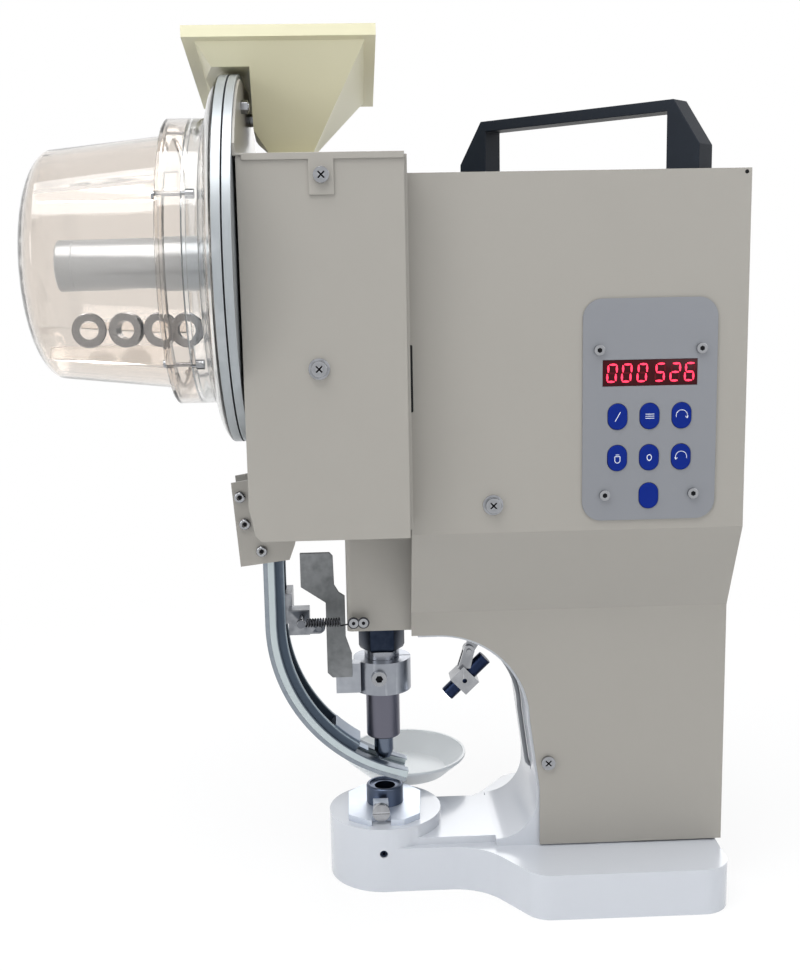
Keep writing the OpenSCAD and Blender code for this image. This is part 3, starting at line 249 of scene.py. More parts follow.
# Uneven finish: broad clouds in the colour, fine grain in the gloss and the height
CLOUD_SCALE = 17.0
grain, g_in, g_out = new_group("uneven_finish", [
    ("Vector", "Vector", None), ("Color", "Color", (0.5, 0.5, 0.5, 1)), ("Clouds", "Float", 0.05),
    ("Scale", "Float", 900.0), ("Roughness", "Float", 0.4), ("Play", "Float", 0.1)],
    [("Color", "Color"), ("Roughness", "Float"), ("Height", "Float")])
broad = noise(grain, g_in.outputs["Vector"], CLOUD_SCALE, 4.0)
fine = noise(grain, g_in.outputs["Vector"], g_in.outputs["Scale"])
swing = maths(grain, "MULTIPLY", maths(grain, "SUBTRACT", broad, 0.5), g_in.outputs["Clouds"])
grain.links.new(tinted(grain, g_in.outputs["Color"], maths(grain, "ADD", swing, 1.0)),
                g_out.inputs["Color"])
blend = maths(grain, "ADD", maths(grain, "MULTIPLY", broad, 0.6),
              maths(grain, "MULTIPLY", fine, 0.4))
play = maths(grain, "MULTIPLY", maths(grain, "SUBTRACT", blend, 0.5), g_in.outputs["Play"])
grain.links.new(maths(grain, "ADD", g_in.outputs["Roughness"], play, clamp=True),
                g_out.inputs["Roughness"])
grain.links.new(fine, g_out.inputs["Height"])

# Worn and highlit edges: the colour changes in patches where the surface bends outwards, partly as
# wear and partly as a painted highlight on the edges
WEAR_AND_HIGHLIGHT_FROM, WEAR_AND_HIGHLIGHT_FULL, PATCH_SCALE = 0.515, 0.60, 160.0
worn_and_highlit, w_in, w_out = new_group("worn_and_highlit_edges", [
    ("Vector", "Vector", None), ("Color", "Color", (0.5, 0.5, 0.5, 1)),
    ("Edge Color", "Color", (0.8, 0.8, 0.8, 1)), ("Amount", "Float", 0.3)], [("Color", "Color")])
bend = worn_and_highlit.nodes.new("ShaderNodeNewGeometry").outputs["Pointiness"]
span = worn_and_highlit.nodes.new("ShaderNodeMapRange")
span.inputs["From Min"].default_value = WEAR_AND_HIGHLIGHT_FROM
span.inputs["From Max"].default_value = WEAR_AND_HIGHLIGHT_FULL
worn_and_highlit.links.new(bend, span.inputs["Value"])
patches = maths(worn_and_highlit, "MULTIPLY", noise(worn_and_highlit, w_in.outputs["Vector"], PATCH_SCALE, 3.0), 1.5,
                clamp=True)
mask = maths(worn_and_highlit, "MULTIPLY", maths(worn_and_highlit, "MULTIPLY", span.outputs[0], patches),
             w_in.outputs["Amount"], clamp=True)
mix = worn_and_highlit.nodes.new("ShaderNodeMix")
mix.data_type = "RGBA"
worn_and_highlit.links.new(mask, mix.inputs[0])
worn_and_highlit.links.new(w_in.outputs["Color"], mix.inputs[6])
worn_and_highlit.links.new(w_in.outputs["Edge Color"], mix.inputs[7])
worn_and_highlit.links.new(mix.outputs[2], w_out.inputs["Color"])

# Turned marks: fine rings round an axis, from the distance to it
turned, t_in, t_out = new_group("turned_marks", [
    ("Vector", "Vector", None), ("Across", "Vector", (1, 1, 0)), ("Rings", "Float", 1500.0)],
    [("Height", "Float")])
flat = turned.nodes.new("ShaderNodeVectorMath")
flat.operation = "MULTIPLY"
turned.links.new(t_in.outputs["Vector"], flat.inputs[0])
turned.links.new(t_in.outputs["Across"], flat.inputs[1])
reach = turned.nodes.new("ShaderNodeVectorMath")
reach.operation = "LENGTH"
turned.links.new(flat.outputs[0], reach.inputs[0])
rings = turned.nodes.new("ShaderNodeTexNoise")
rings.noise_dimensions = "1D"
rings.inputs["Scale"].default_value = 1.0
turned.links.new(maths(turned, "MULTIPLY", reach.outputs["Value"], t_in.outputs["Rings"]),
                 rings.inputs["W"])
turned.links.new(rings.outputs["Fac"], t_out.inputs["Height"])

LACQUER_ROUGH = 0.12


def finish(name, colour, metallic=0.0, rough=0.4, play=0.12, clouds=0.06, scale=900.0,
           depth=0.02, stretch=(1, 1, 1), edge=None, wear_and_highlight=0.0, rings=None, coat=0.0,
           glass=0.0, glow=0.0, gleam=0.5):
    """A finish: colour, gloss and relief that vary over the surface. depth is in millimetres."""
    mat = bpy.data.materials.new(name)
    mat.use_nodes = True
    tree = mat.node_tree
    shader = tree.nodes["Principled BSDF"]
    place = tree.nodes.new("ShaderNodeTexCoord").outputs["Object"]
    mapped = tree.nodes.new("ShaderNodeMapping")
    mapped.inputs["Scale"].default_value = stretch
    tree.links.new(place, mapped.inputs["Vector"])
    body = tree.nodes.new("ShaderNodeGroup")
    body.node_tree = grain
    tree.links.new(mapped.outputs[0], body.inputs["Vector"])
    body.inputs["Color"].default_value = colour
    for label, value in (("Clouds", clouds), ("Scale", scale), ("Roughness", rough),
                         ("Play", play)):
        body.inputs[label].default_value = value
    tone = body.outputs["Color"]
    # Convex edges take the edge colour: partly wear, partly a painted highlight.
    if edge:
        rub_and_highlight = tree.nodes.new("ShaderNodeGroup")
        rub_and_highlight.node_tree = worn_and_highlit
        tree.links.new(place, rub_and_highlight.inputs["Vector"])
        tree.links.new(tone, rub_and_highlight.inputs["Color"])
        rub_and_highlight.inputs["Edge Color"].default_value = edge
        rub_and_highlight.inputs["Amount"].default_value = wear_and_highlight
        tone = rub_and_highlight.outputs["Color"]
    tree.links.new(tone, shader.inputs["Base Color"])
    tree.links.new(body.outputs["Roughness"], shader.inputs["Roughness"])
    height = body.outputs["Height"]
    if rings:
        centre, across, count = rings
        shift = tree.nodes.new("ShaderNodeMapping")
        shift.inputs["Location"].default_value = [-c for c in centre]
        tree.links.new(place, shift.inputs["Vector"])
        marks = tree.nodes.new("ShaderNodeGroup")
        marks.node_tree = turned
        tree.links.new(shift.outputs[0], marks.inputs["Vector"])
        marks.inputs["Across"].default_value = across
        marks.inputs["Rings"].default_value = count
        height = maths(tree, "ADD", maths(tree, "MULTIPLY", height, 0.3), marks.outputs["Height"])
    bump = tree.nodes.new("ShaderNodeBump")
    bump.inputs["Distance"].default_value = depth * MM
    tree.links.new(height, bump.inputs["Height"])
    tree.links.new(bump.outputs[0], shader.inputs["Normal"])
    shader.inputs["Metallic"].default_value = metallic
    shader.inputs["Specular IOR Level"].default_value = gleam
    shader.inputs["Coat Weight"].default_value = coat
    shader.inputs["Coat Roughness"].default_value = LACQUER_ROUGH
    shader.inputs["Transmission Weight"].default_value = glass
    if glow:
        tree.links.new(tone, shader.inputs["Emission Color"])
        shader.inputs["Emission Strength"].default_value = glow
    return mat


def place_piece(name, bm, body, mat, replaced=()):
    """Makes an object of a mesh, shades it and lets it ride on its body."""
    for face in bm.faces:
        face.smooth = True
    for edge in bm.edges:
        edge.smooth = len(edge.link_faces) == 2 and edge.calc_face_angle(0.0) < SMOOTH_UNDER
    mesh = bpy.data.meshes.new(name)
    bm.to_mesh(mesh)
    bm.free()
    mesh.materials.append(mat)
    piece = bpy.data.objects.new(name, mesh)
    bpy.context.scene.collection.objects.link(piece)
    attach(piece, body)
    if replaced:
        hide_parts(*replaced)
    return piece


def paint(node, mat):
    """Gives a carried node its finish."""
    mesh = NODES[node].data
    mesh.materials.clear()
    mesh.materials.append(mat)


MERGE_WITHIN, LEVEL_WITHIN, SQUARE_CM = 2e-6, math.radians(0.7), 1e-4


def round_edges(bm, width, sharper_than=0.0, segments=2, among=None):
    """Rounds the edges that are sharper than an angle in degrees. width is in millimetres."""
    sharp = [e for e in among or bm.edges if len(e.link_faces) == 2
             and e.calc_face_angle(0.0) > math.radians(sharper_than)]
    bmesh.ops.bevel(bm, geom=sharp, offset=width * MM, offset_type="OFFSET", segments=segments,
                    profile=0.5, affect="EDGES", clamp_overlap=True, material=-1)


def level_faces(piece):
    """Shades broad faces flat, up to the rounding of their edges."""
    level = piece.modifiers.new("level_faces", "WEIGHTED_NORMAL")
    level.weight = 90
    level.keep_sharp = True


def eased(node, name, mat, width, segments=2, sharper_than=32.0, flat_over=None):
    """The node's shape with its sharp edges rounded, in place of the node. width is in mm, and
    faces of more than flat_over square centimetres are flat sheet."""
    paint(node, mat)
    bm = bmesh.new()
    bm.from_mesh(NODES[node].data)
    bmesh.ops.remove_doubles(bm, verts=bm.verts, dist=MERGE_WITHIN)
    bmesh.ops.dissolve_limit(bm, angle_limit=LEVEL_WITHIN, verts=bm.verts, edges=bm.edges,
                             delimit={"NORMAL"})
    round_edges(bm, width, sharper_than, segments)
    piece = place_piece(name, bm, NODES[node]["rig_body"], mat, (node,))
    for face in piece.data.polygons:
        face.use_smooth = not flat_over or face.area < flat_over * SQUARE_CM
    level_faces(piece)


enamel = finish("white_enamel", screen(196, 199, 205), rough=0.24, play=0.1, clouds=0.03,
                scale=420.0, depth=0.03, coat=0.3)
eased("frame_casting", "enamelled_casting", enamel, 1.6, 3)

# ----------------------------------------------------------------------
# The ram housing: a square steel block bolted into the head, with a bronze bush pressed into
# each end for the ram.
beige = finish("beige_enamel", screen(153, 149, 142), rough=0.34, play=0.12, clouds=0.04,
               scale=1300.0, depth=0.02, coat=0.15)
eased("ram_housing", "ram_guide_block", beige, 0.8)
bush_bronze = finish("turned_bronze", screen(196, 150, 92), metallic=1.0, rough=0.34, depth=0.006,
                     rings=((0, 0, 0), (1, 1, 0), 2600.0))
paint("guide_bushes", bush_bronze)

# ----------------------------------------------------------------------
# The sheet covers: 1.5 mm steel, folded along the slope and sprayed with satin beige-grey
# enamel. One on each side, and one bent over the top and down the back.
for node, name in (("cover_near", "near_side_cover"), ("cover_far", "far_side_cover"),
                   ("cover_top_rear", "top_and_rear_cover")):
    eased(node, name, beige, 0.5, sharper_than=4.0, flat_over=4)

# ----------------------------------------------------------------------
# The carry handle: a moulded bow of fine-grained, nearly black plastic, bolted through the top
# cover and set across the machine.
handle_black = finish("grained_black", screen(17, 24, 33), rough=0.46, play=0.16, clouds=0.1,
                      scale=2300.0, depth=0.05, edge=screen(48, 56, 68), wear_and_highlight=0.25, gleam=0.18)
eased("carry_handle", "carry_bow", handle_black, 1.8, 3)

# ----------------------------------------------------------------------
# The control panel: a satin grey plate with rounded corners, held by four screws over a circuit
# board that carries the red display and a switch behind each key.
panel_grey = finish("panel_satin", screen(130, 132, 137), metallic=0.25, rough=0.36, play=0.1,
                    clouds=0.03, scale=1500.0, depth=0.008, stretch=(0.06, 1, 1))
eased("control_panel", "panel_plate", panel_grey, 0.25)
zinc = finish("bright_zinc", screen(140, 142, 146), metallic=1.0, rough=0.16, play=0.14,
              clouds=0.08, scale=1400.0, depth=0.008, edge=screen(240, 241, 244), wear_and_highlight=0.4)
eased("panel_screws", "panel_screw_set", zinc, 0.35)
board = finish("board_lacquer", screen(24, 70, 44), rough=0.3, scale=600.0, depth=0.02)
paint("display_board", board)
# Painted shade: this dark finish fills screw sockets and recesses that are dark only from shade.
recess_painted_shade = finish("recess_painted_shade", screen(24, 25, 28), metallic=0.8, rough=0.5, scale=1500.0,
                     depth=0.01, gleam=0.2)
PANEL_X, PANEL_Z = 194.5, 384.3
PANEL_SCREWS, PANEL_HEAD_Y = ((-36.8, 43.7), (36.8, 43.7), (-32.3, -61.2), (32.3, -61.2)), -87.16


def hex_socket_shade_plugs(name, places, radius, deep, body):
    """Dark plugs of painted shade in hexagon sockets, each given by the middle of its outer face.
    """
    bm = bmesh.new()
    for x, y, z in places:
        bmesh.ops.create_cone(bm, cap_ends=True, segments=6, radius1=radius * MM,
                              radius2=radius * MM, depth=deep * MM, matrix=Matrix.Translation(
                                  (x * MM, (y + deep / 2) * MM, z * MM))
                              @ Matrix.Rotation(math.radians(90), 4, "X"))
    place_piece(name, bm, body, recess_painted_shade)


# Painted shade in the sockets of the panel's four screws.
hex_socket_shade_plugs("panel_screw_socket_shade", [(PANEL_X + x, PANEL_HEAD_Y, PANEL_Z + z)
                                  for x, z in PANEL_SCREWS], 1.9, 0.6, "base")

# ----------------------------------------------------------------------
# The display: six slanted seven-bar figures of red light behind a dark red window, which is
# pressed into the panel.
WINDOW_X, WINDOW_Y, WINDOW_Z = PANEL_X, -84.32, 411.3
WINDOW_W, WINDOW_T, WINDOW_H = 68.1, 0.1, 18.6
window_red = finish("display_window", screen(58, 3, 12), rough=0.2, play=0.04, clouds=0.08,
                    scale=300.0, depth=0.003, gleam=0.15)
bm = bmesh.new()
bmesh.ops.create_cube(bm, size=MM, matrix=Matrix.Translation(
    (WINDOW_X * MM, (WINDOW_Y + WINDOW_T / 2) * MM, WINDOW_Z * MM)) @ Matrix.Diagonal(
    (WINDOW_W, WINDOW_T, WINDOW_H, 1)))
round_edges(bm, 0.03)
place_piece("display_glass", bm, "base", window_red)

FIGURES = {"0": "ABCDEF", "2": "ABGED", "5": "AFGCD", "6": "AFGECD"}
READING = "000526"
PLACES = (-27.4, -16.8, -5.6, 7.3, 18.2, 28.6)
BAR_LONG, BAR_WIDE, BAR_PROUD, FIGURE_LEAN = 5.9, 1.6, 0.02, math.radians(7)
PRINT_THICK = 0.04
BARS = {"A": (0, 6.1, 0), "D": (0, -6.1, 0), "G": (0, 0, 0), "B": (3.05, 3.05, 1),
        "C": (3.05, -3.05, 1), "E": (-3.05, -3.05, 1), "F": (-3.05, 3.05, 1)}
lit_red = finish("lit_red", screen(255, 46, 78), rough=0.5, clouds=0.02, glow=1.7)
dim_red = finish("unlit_red", screen(84, 5, 20), rough=0.4, clouds=0.02, gleam=0.15)
for name, mat, want in (("display_lit_bars", lit_red, True),
                        ("display_dark_bars", dim_red, False)):
    bm = bmesh.new()
    for along, figure in zip(PLACES, READING):
        for bar, (bx, bz, upright) in BARS.items():
            if (bar in FIGURES[figure]) != want:
                continue
            made = bmesh.ops.create_circle(bm, cap_ends=True, segments=6, radius=0.5)
            turn = Matrix.Rotation(math.radians(90), 4, "Y") if upright else Matrix.Identity(4)
            bmesh.ops.transform(bm, verts=made["verts"], matrix=Matrix.Translation(
                ((WINDOW_X + along + bx + math.tan(FIGURE_LEAN) * bz) * MM,
                 (WINDOW_Y - BAR_PROUD) * MM, (WINDOW_Z + bz) * MM)) @ turn
                @ Matrix.Rotation(math.radians(90), 4, "X") @ Matrix.Diagonal(
                    (BAR_LONG * MM, BAR_WIDE * MM, MM, 1)))
    bmesh.ops.solidify(bm, geom=bm.faces[:], thickness=PRINT_THICK * MM)
    place_piece(name, bm, "base", mat)

# ----------------------------------------------------------------------
# The seven keys: blue silicone caps with rounded edges, pushed through the panel from behind.
# Six of them have a printed white sign.
KEYS = {"feed": (-23.2, -4.3), "menu": (0, -4.3), "forward": (23.2, -4.3), "lamp": (-23.2, -34.3),
        "zero": (0, -34.3), "reverse": (23.2, -34.3), "jog": (0, -62.3)}
KEY_FACE_Y, SIGN_PROUD = -85.5, 0.01
key_blue = finish("key_blue", screen(2, 34, 120), rough=0.42, play=0.1, clouds=0.06, scale=1500.0,
                  depth=0.02, gleam=0.12)
print_white = finish("printed_white", screen(226, 230, 236), rough=0.5, clouds=0.04)


def stroke(bm, p, q, width=0.45):
    """A printed bar from p to q, in millimetres round the key's middle."""
    d = Vector(q) - Vector(p)
    turn = Matrix.Rotation(-math.atan2(d.y, d.x), 4, "Y")
    middle = (Vector(p) + Vector(q)) / 2
    bmesh.ops.create_grid(bm, x_segments=1, y_segments=1, size=0.5, matrix=Matrix.Translation(
        (middle.x, 0, middle.y)) @ turn @ Matrix.Diagonal((d.length, 1, width, 1))
        @ Matrix.Rotation(math.radians(90), 4, "X"))


def arc(bm, radius, start, turn, width=0.45):
    """A printed arc round the key's middle, from one angle through another, in degrees."""
    ends = [bm.verts.new((r, 0, 0)) for r in (radius - width / 2, radius + width / 2)]
    side = bm.edges.new(ends)
    bmesh.ops.rotate(bm, verts=ends, cent=(0, 0, 0), matrix=Matrix.Rotation(
        -math.radians(start), 3, "Y"))
    bmesh.ops.spin(bm, geom=ends + [side], axis=(0, -1, 0), cent=(0, 0, 0),
                   angle=math.radians(turn), steps=max(6, int(turn / 10)),
                   use_merge=turn == 360)


def icon(key):
    """The printed sign of one key, flat, in millimetres round the key's middle."""
    bm = bmesh.new()
    if key == "feed":
        stroke(bm, (-1.9, -3.3), (1.9, 3.3))
    elif key == "menu":
        for z in (-1.5, 0, 1.5):
            stroke(bm, (-3.2, z), (3.2, z), 0.4)
    elif key == "forward":
        arc(bm, 4.1, -20, 215, 0.35)
        stroke(bm, (4.0, -1.9), (2.7, -0.5), 0.4)
        stroke(bm, (4.0, -1.9), (4.6, -0.2), 0.4)
    elif key == "reverse":
        arc(bm, 4.1, -15, 215, 0.35)
        stroke(bm, (-4.0, -1.9), (-2.7, -0.5), 0.4)
        stroke(bm, (-4.0, -1.9), (-4.6, -0.2), 0.4)
    elif key == "zero":
        arc(bm, 1.6, 0, 360)
        bmesh.ops.scale(bm, verts=bm.verts[:], vec=(1, 1, 1.3))
    elif key == "lamp":
        arc(bm, 1.9, 180, 180)
        bmesh.ops.translate(bm, verts=bm.verts[:], vec=(0, 0, -1.6))
        for x in (-1.9, 1.9):
            stroke(bm, (x, -1.6), (x, 1.2))
        stroke(bm, (-1.9, 1.2), (1.9, 1.2))
        stroke(bm, (-1.3, 2.4), (1.3, 2.4))
    return bm


for key, (kx, kz) in KEYS.items():
    eased("key_" + key, "key_cap_" + key, key_blue, 0.55, 3)
    bm = icon(key)
    if not bm.faces:
        bm.free()
        continue
    bmesh.ops.remove_doubles(bm, verts=bm.verts, dist=1e-4)
    bmesh.ops.recalc_face_normals(bm, faces=bm.faces[:])
    for face in bm.faces:
        if face.normal.y > 0:
            face.normal_flip()
    bmesh.ops.transform(bm, verts=bm.verts[:], matrix=Matrix.Translation(
        ((PANEL_X + kx) * MM, (KEY_FACE_Y - SIGN_PROUD) * MM, (PANEL_Z + kz) * MM))
        @ Matrix.Scale(MM, 4))
    bmesh.ops.solidify(bm, geom=bm.faces[:], thickness=PRINT_THICK * MM)
    place_piece("key_sign_" + key, bm, "key_%s_group" % key, print_white)

# ----------------------------------------------------------------------
# The rear sockets: a three-pin power inlet, a round pedal socket and a rocker switch, in black
# moulded plastic snapped into the rear cover.
socket_black = finish("socket_black", screen(26, 26, 28), rough=0.4, play=0.12, scale=1800.0,
                      depth=0.03)
eased("rear_inlets", "rear_socket_set", socket_black, 0.5)
rocker_red = finish("rocker_red", screen(176, 24, 22), rough=0.22, play=0.06, scale=900.0,
                    depth=0.01, coat=0.4)
eased("rocker_switch", "rocker_paddle", rocker_red, 0.6, 3)
pin_brass = finish("plated_pins", screen(206, 198, 176), metallic=1.0, rough=0.24, depth=0.004)
BLADES, BLADE_X = ((-12.5, 78.4), (-1.5, 78.4), (-7.0, 82.6)), 260.0
PINS, PIN_X, PIN_R, PIN_LONG = ((-22.0, 121.6), (-18.0, 121.6), (-20.0, 117.6)), 259.5, 0.8, 5
bm = bmesh.new()
for y, z in BLADES:
    bmesh.ops.create_cube(bm, size=1.0, matrix=Matrix.Translation(
        (BLADE_X * MM, y * MM, z * MM)) @ Matrix.Diagonal((6 * MM, 2 * MM, 4 * MM, 1)))
for y, z in PINS:
    bmesh.ops.create_cone(bm, cap_ends=True, segments=16, radius1=PIN_R * MM,
                          radius2=PIN_R * MM, depth=PIN_LONG * MM, matrix=Matrix.Translation(
                              (PIN_X * MM, y * MM, z * MM))
                          @ Matrix.Rotation(math.radians(90), 4, "Y"))
round_edges(bm, 0.2)
place_piece("socket_pins", bm, "base", pin_brass)

# ----------------------------------------------------------------------
# The drive: a geared motor on the head's shelf turns a crankshaft in two ball bearings, whose
# pin runs in the ram's yoke. A boxed power supply hangs on the rear cover.
motor_grey = finish("motor_grey", screen(92, 97, 103), rough=0.4, play=0.14, scale=1000.0,
                    depth=0.03, edge=screen(150, 152, 156), wear_and_highlight=0.4)
eased("gear_motor", "geared_motor", motor_grey, 1.2)
CRANK_AXIS = ((0, 0, 0.390), (0, 1, 1))
race_steel = finish("bearing_steel", screen(196, 198, 202), metallic=1.0, rough=0.22, depth=0.004,
                    rings=(*CRANK_AXIS, 2400.0))
paint("crank_bearings", race_steel)
forged = finish("ground_forging", screen(118, 120, 124), metallic=1.0, rough=0.36, depth=0.01,
                rings=(*CRANK_AXIS, 1800.0))
eased("crank_shaft", "crank_shaft_turned", forged, 0.5)
supply_black = finish("supply_case", screen(40, 42, 44), rough=0.5, scale=1200.0, depth=0.03)
eased("power_supply", "power_supply_case", supply_black, 1.0)

# ----------------------------------------------------------------------
# The ram: a ground steel shaft with a yoke at its top. Below the housing it carries a black
# hexagon nut, a split collar with a cap screw, the cam plate, the die sleeve and the pin.
PRESS_AXIS = ((0, 0, 0), (1, 1, 0), 2200.0)
ground = finish("ground_steel", screen(150, 153, 160), metallic=1.0, rough=0.26, clouds=0.08,
                depth=0.006, rings=PRESS_AXIS)
eased("ram", "ram_shaft", ground, 0.5)
black_oxide = finish("black_oxide", screen(20, 28, 44), metallic=1.0, rough=0.3, scale=1100.0,
                     depth=0.02, edge=screen(86, 96, 112), wear_and_highlight=0.4)
paint("ram_nut", black_oxide)
nut_low, nut_high = (Vector(corner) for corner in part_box("ram_nut"))
NUT_R, NUT_TALL, NUT_CHAMFER = (nut_high.x - nut_low.x) / 2, nut_high.z - nut_low.z, 4.0
bm = bmesh.new()
bmesh.ops.create_cone(bm, cap_ends=True, segments=6, radius1=NUT_R, radius2=NUT_R, depth=NUT_TALL,
                      matrix=Matrix.Translation((nut_low + nut_high) / 2)
                      @ Matrix.Rotation(math.radians(90), 4, "Z"))
round_edges(bm, NUT_CHAMFER, among=[e for e in bm.edges
                                    if all(v.co.z < nut_low.z + MM for v in e.verts)])
round_edges(bm, 0.6, 32)
place_piece("black_ring_nut", bm, "ram_group", black_oxide, ("ram_nut",))
milled = finish("milled_steel", screen(142, 146, 154), metallic=1.0, rough=0.3, clouds=0.1,
                scale=700.0, depth=0.01, edge=screen(204, 208, 214), wear_and_highlight=0.4)
eased("clamp_collar", "split_collar", milled, 0.6)
eased("collar_screw", "collar_cap_screw", zinc, 0.5)
# Painted shade in the collar screw's hexagon socket.
hex_socket_shade_plugs("collar_screw_socket_shade", [(-3.0, -25.2, 170.0)], 2.95, 1.6, "ram_group")
rolled = finish("rolled_steel", screen(90, 93, 94), metallic=1.0, rough=0.46, clouds=0.14,
                scale=260.0, depth=0.008, stretch=(1, 1, 7), edge=screen(214, 216, 220), wear_and_highlight=0.4)
eased("cam_plate", "cam_plate_cut", rolled, 0.4)
sleeve_grey = finish("sleeve_grey", screen(106, 106, 117), metallic=1.0, rough=0.36, clouds=0.1,
                     depth=0.006, rings=PRESS_AXIS)
eased("die_sleeve", "upper_die_sleeve", sleeve_grey, 0.4)
pin_steel = finish("pin_steel", screen(104, 113, 128), metallic=1.0, rough=0.24, depth=0.006,
                   rings=PRESS_AXIS)
eased("locating_pin", "sprung_pin", pin_steel, 0.4)

# ----------------------------------------------------------------------
# The pin's spring: eight turns of bright wire inside the die sleeve, which push the locating
# pin down. It shortens as the pin is pressed up.
def wire(name, points, radius, body, mat, node, springy=False):
    """A round wire through points, in millimetres, in place of the node's plain solid. A springy
    one is made a mesh, and one without a body is left unattached."""
    curve = bpy.data.curves.new(name, "CURVE")
    curve.dimensions = "3D"
    curve.bevel_depth = radius * MM
    curve.bevel_resolution = 4
    curve.use_fill_caps = True
    spline = curve.splines.new("POLY")
    spline.points.add(len(points) - 1)
    for target, p in zip(spline.points, points):
        target.co = (p[0] * MM, p[1] * MM, p[2] * MM, 1)
    spline.use_smooth = True
    curve.materials.append(mat)
    piece = bpy.data.objects.new(name, curve)
    bpy.context.scene.collection.objects.link(piece)
    if springy:
        mesh = bpy.data.meshes.new_from_object(piece)
        bpy.data.objects.remove(piece)
        piece = bpy.data.objects.new(name, mesh)
        bpy.context.scene.collection.objects.link(piece)
    if body:
        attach(piece, body)
    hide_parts(node)
    paint(node, mat)
    return piece


PIN_SPRING_R, PIN_SPRING_WIRE, PIN_SPRING_TURNS = 7.5, 0.75, 8
PIN_SPRING_LOW, PIN_SPRING_HIGH = 128.85, 164.15
wire_steel = finish("spring_wire", screen(150, 150, 152), metallic=1.0, rough=0.28, depth=0.003,
                    scale=1500.0)
STEPS_A_TURN = 24
steps = STEPS_A_TURN * PIN_SPRING_TURNS
pin_coil = wire("pin_spring_coil", [
    (PIN_SPRING_R * math.cos(math.tau * i / STEPS_A_TURN),
     PIN_SPRING_R * math.sin(math.tau * i / STEPS_A_TURN),
     PIN_SPRING_LOW + (PIN_SPRING_HIGH - PIN_SPRING_LOW) * i / steps) for i in range(steps + 1)],
    PIN_SPRING_WIRE, "ram_group", wire_steel, "pin_spring", True)
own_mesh(pin_coil)

# ----------------------------------------------------------------------
# The lower die: hardened steel, in a ground plate on the round boss. A slotted thumb screw
# clamps it.
plate_steel = finish("plate_steel", screen(206, 213, 224), metallic=0.85, rough=0.48, clouds=0.12,
                     scale=320.0, depth=0.008, stretch=(6, 1, 1), edge=screen(226, 230, 236),
                     wear_and_highlight=0.4)
eased("anvil_plate", "anvil_plate_ground", plate_steel, 0.6)
hardened = finish("hardened_steel", screen(78, 87, 104), metallic=1.0, rough=0.3, clouds=0.2,
                  depth=0.006, rings=PRESS_AXIS)
eased("lower_die", "lower_die_hardened", hardened, 0.4)
eased("thumb_screw", "thumb_screw_slotted", zinc, 0.6)

# ----------------------------------------------------------------------
# The dish for spare eyelets: moulded in pale plastic and hung on the far side of the boss,
# beside the die.
dish_pale = finish("dish_pale", screen(236, 239, 240), rough=0.3, play=0.08, clouds=0.04,
                   scale=700.0, depth=0.01)
eased("dish", "spare_dish_moulded", dish_pale, 0.6)

# ----------------------------------------------------------------------
# The work lamp: a navy anodised tube with a white light in its lower end, in a plated clamp
# that tilts on a bracket under the throat's ceiling.
navy = finish("navy_anodised", screen(18, 32, 58), metallic=0.9, rough=0.3, scale=1600.0,
              depth=0.01, edge=screen(90, 100, 140), wear_and_highlight=0.3)
eased("lamp_body", "lamp_tube", navy, 0.5)
eased("lamp_bracket", "lamp_strap", zinc, 0.4)
eased("lamp_clamp", "lamp_clamp_chromed", zinc, 0.7)
LAMP_X, LAMP_Z, LAMP_HALF, LAMP_SLOPE = 66, 160.5, 19, 44
LENS_R, LENS_DOME = 4.4, 0.45
LAMP_LOW = Vector((LAMP_X - LAMP_HALF * math.cos(math.radians(LAMP_SLOPE)), 0,
                   LAMP_Z - LAMP_HALF * math.sin(math.radians(LAMP_SLOPE))))
LAMP_TURN = Matrix.Rotation(math.radians(90 - LAMP_SLOPE), 4, "Y")
lens_white = finish("lamp_lens", screen(244, 248, 255), rough=0.2, clouds=0.02, glow=2.5)
bm = bmesh.new()
bmesh.ops.create_uvsphere(bm, u_segments=24, v_segments=12, radius=LENS_R * MM)
bmesh.ops.bisect_plane(bm, geom=bm.verts[:] + bm.edges[:] + bm.faces[:], plane_co=(0, 0, 0),
                       plane_no=(0, 0, 1), clear_outer=True)
bmesh.ops.contextual_create(bm, geom=[e for e in bm.edges if len(e.link_faces) == 1])
bmesh.ops.transform(bm, verts=bm.verts[:], matrix=Matrix.Translation(LAMP_LOW * MM) @ LAMP_TURN
                    @ Matrix.Diagonal((1, 1, LENS_DOME, 1)))
place_piece("lamp_lens_dome", bm, "lamp_group", lens_white)

# ----------------------------------------------------------------------
# The lamp's lead: a thin grey cable that follows the curve of the throat, clipped to the
# pillar, and goes in through a hole in it.
LEAD_R, LEAD_RUN, LEAD_Y = 1.75, 67.0, -14.0
THROAT_X, THROAT_Z = 42, 140
lead_points = [(THROAT_X + LEAD_RUN * math.cos(math.radians(a)), LEAD_Y,
                THROAT_Z + LEAD_RUN * math.sin(math.radians(a))) for a in range(60, -1, -3)]
lead_points += [(114.8, LEAD_Y, 96.5), (115.5, LEAD_Y, 93), (117.4, LEAD_Y, 90.7),
                (120.5, LEAD_Y, 90), (130.5, LEAD_Y, 90)]
lead_grey = finish("lead_grey", screen(120, 122, 126), rough=0.45, scale=1400.0, depth=0.01)
lead = wire("lamp_lead_sheath", lead_points, LEAD_R, "base", lead_grey, "lamp_lead")

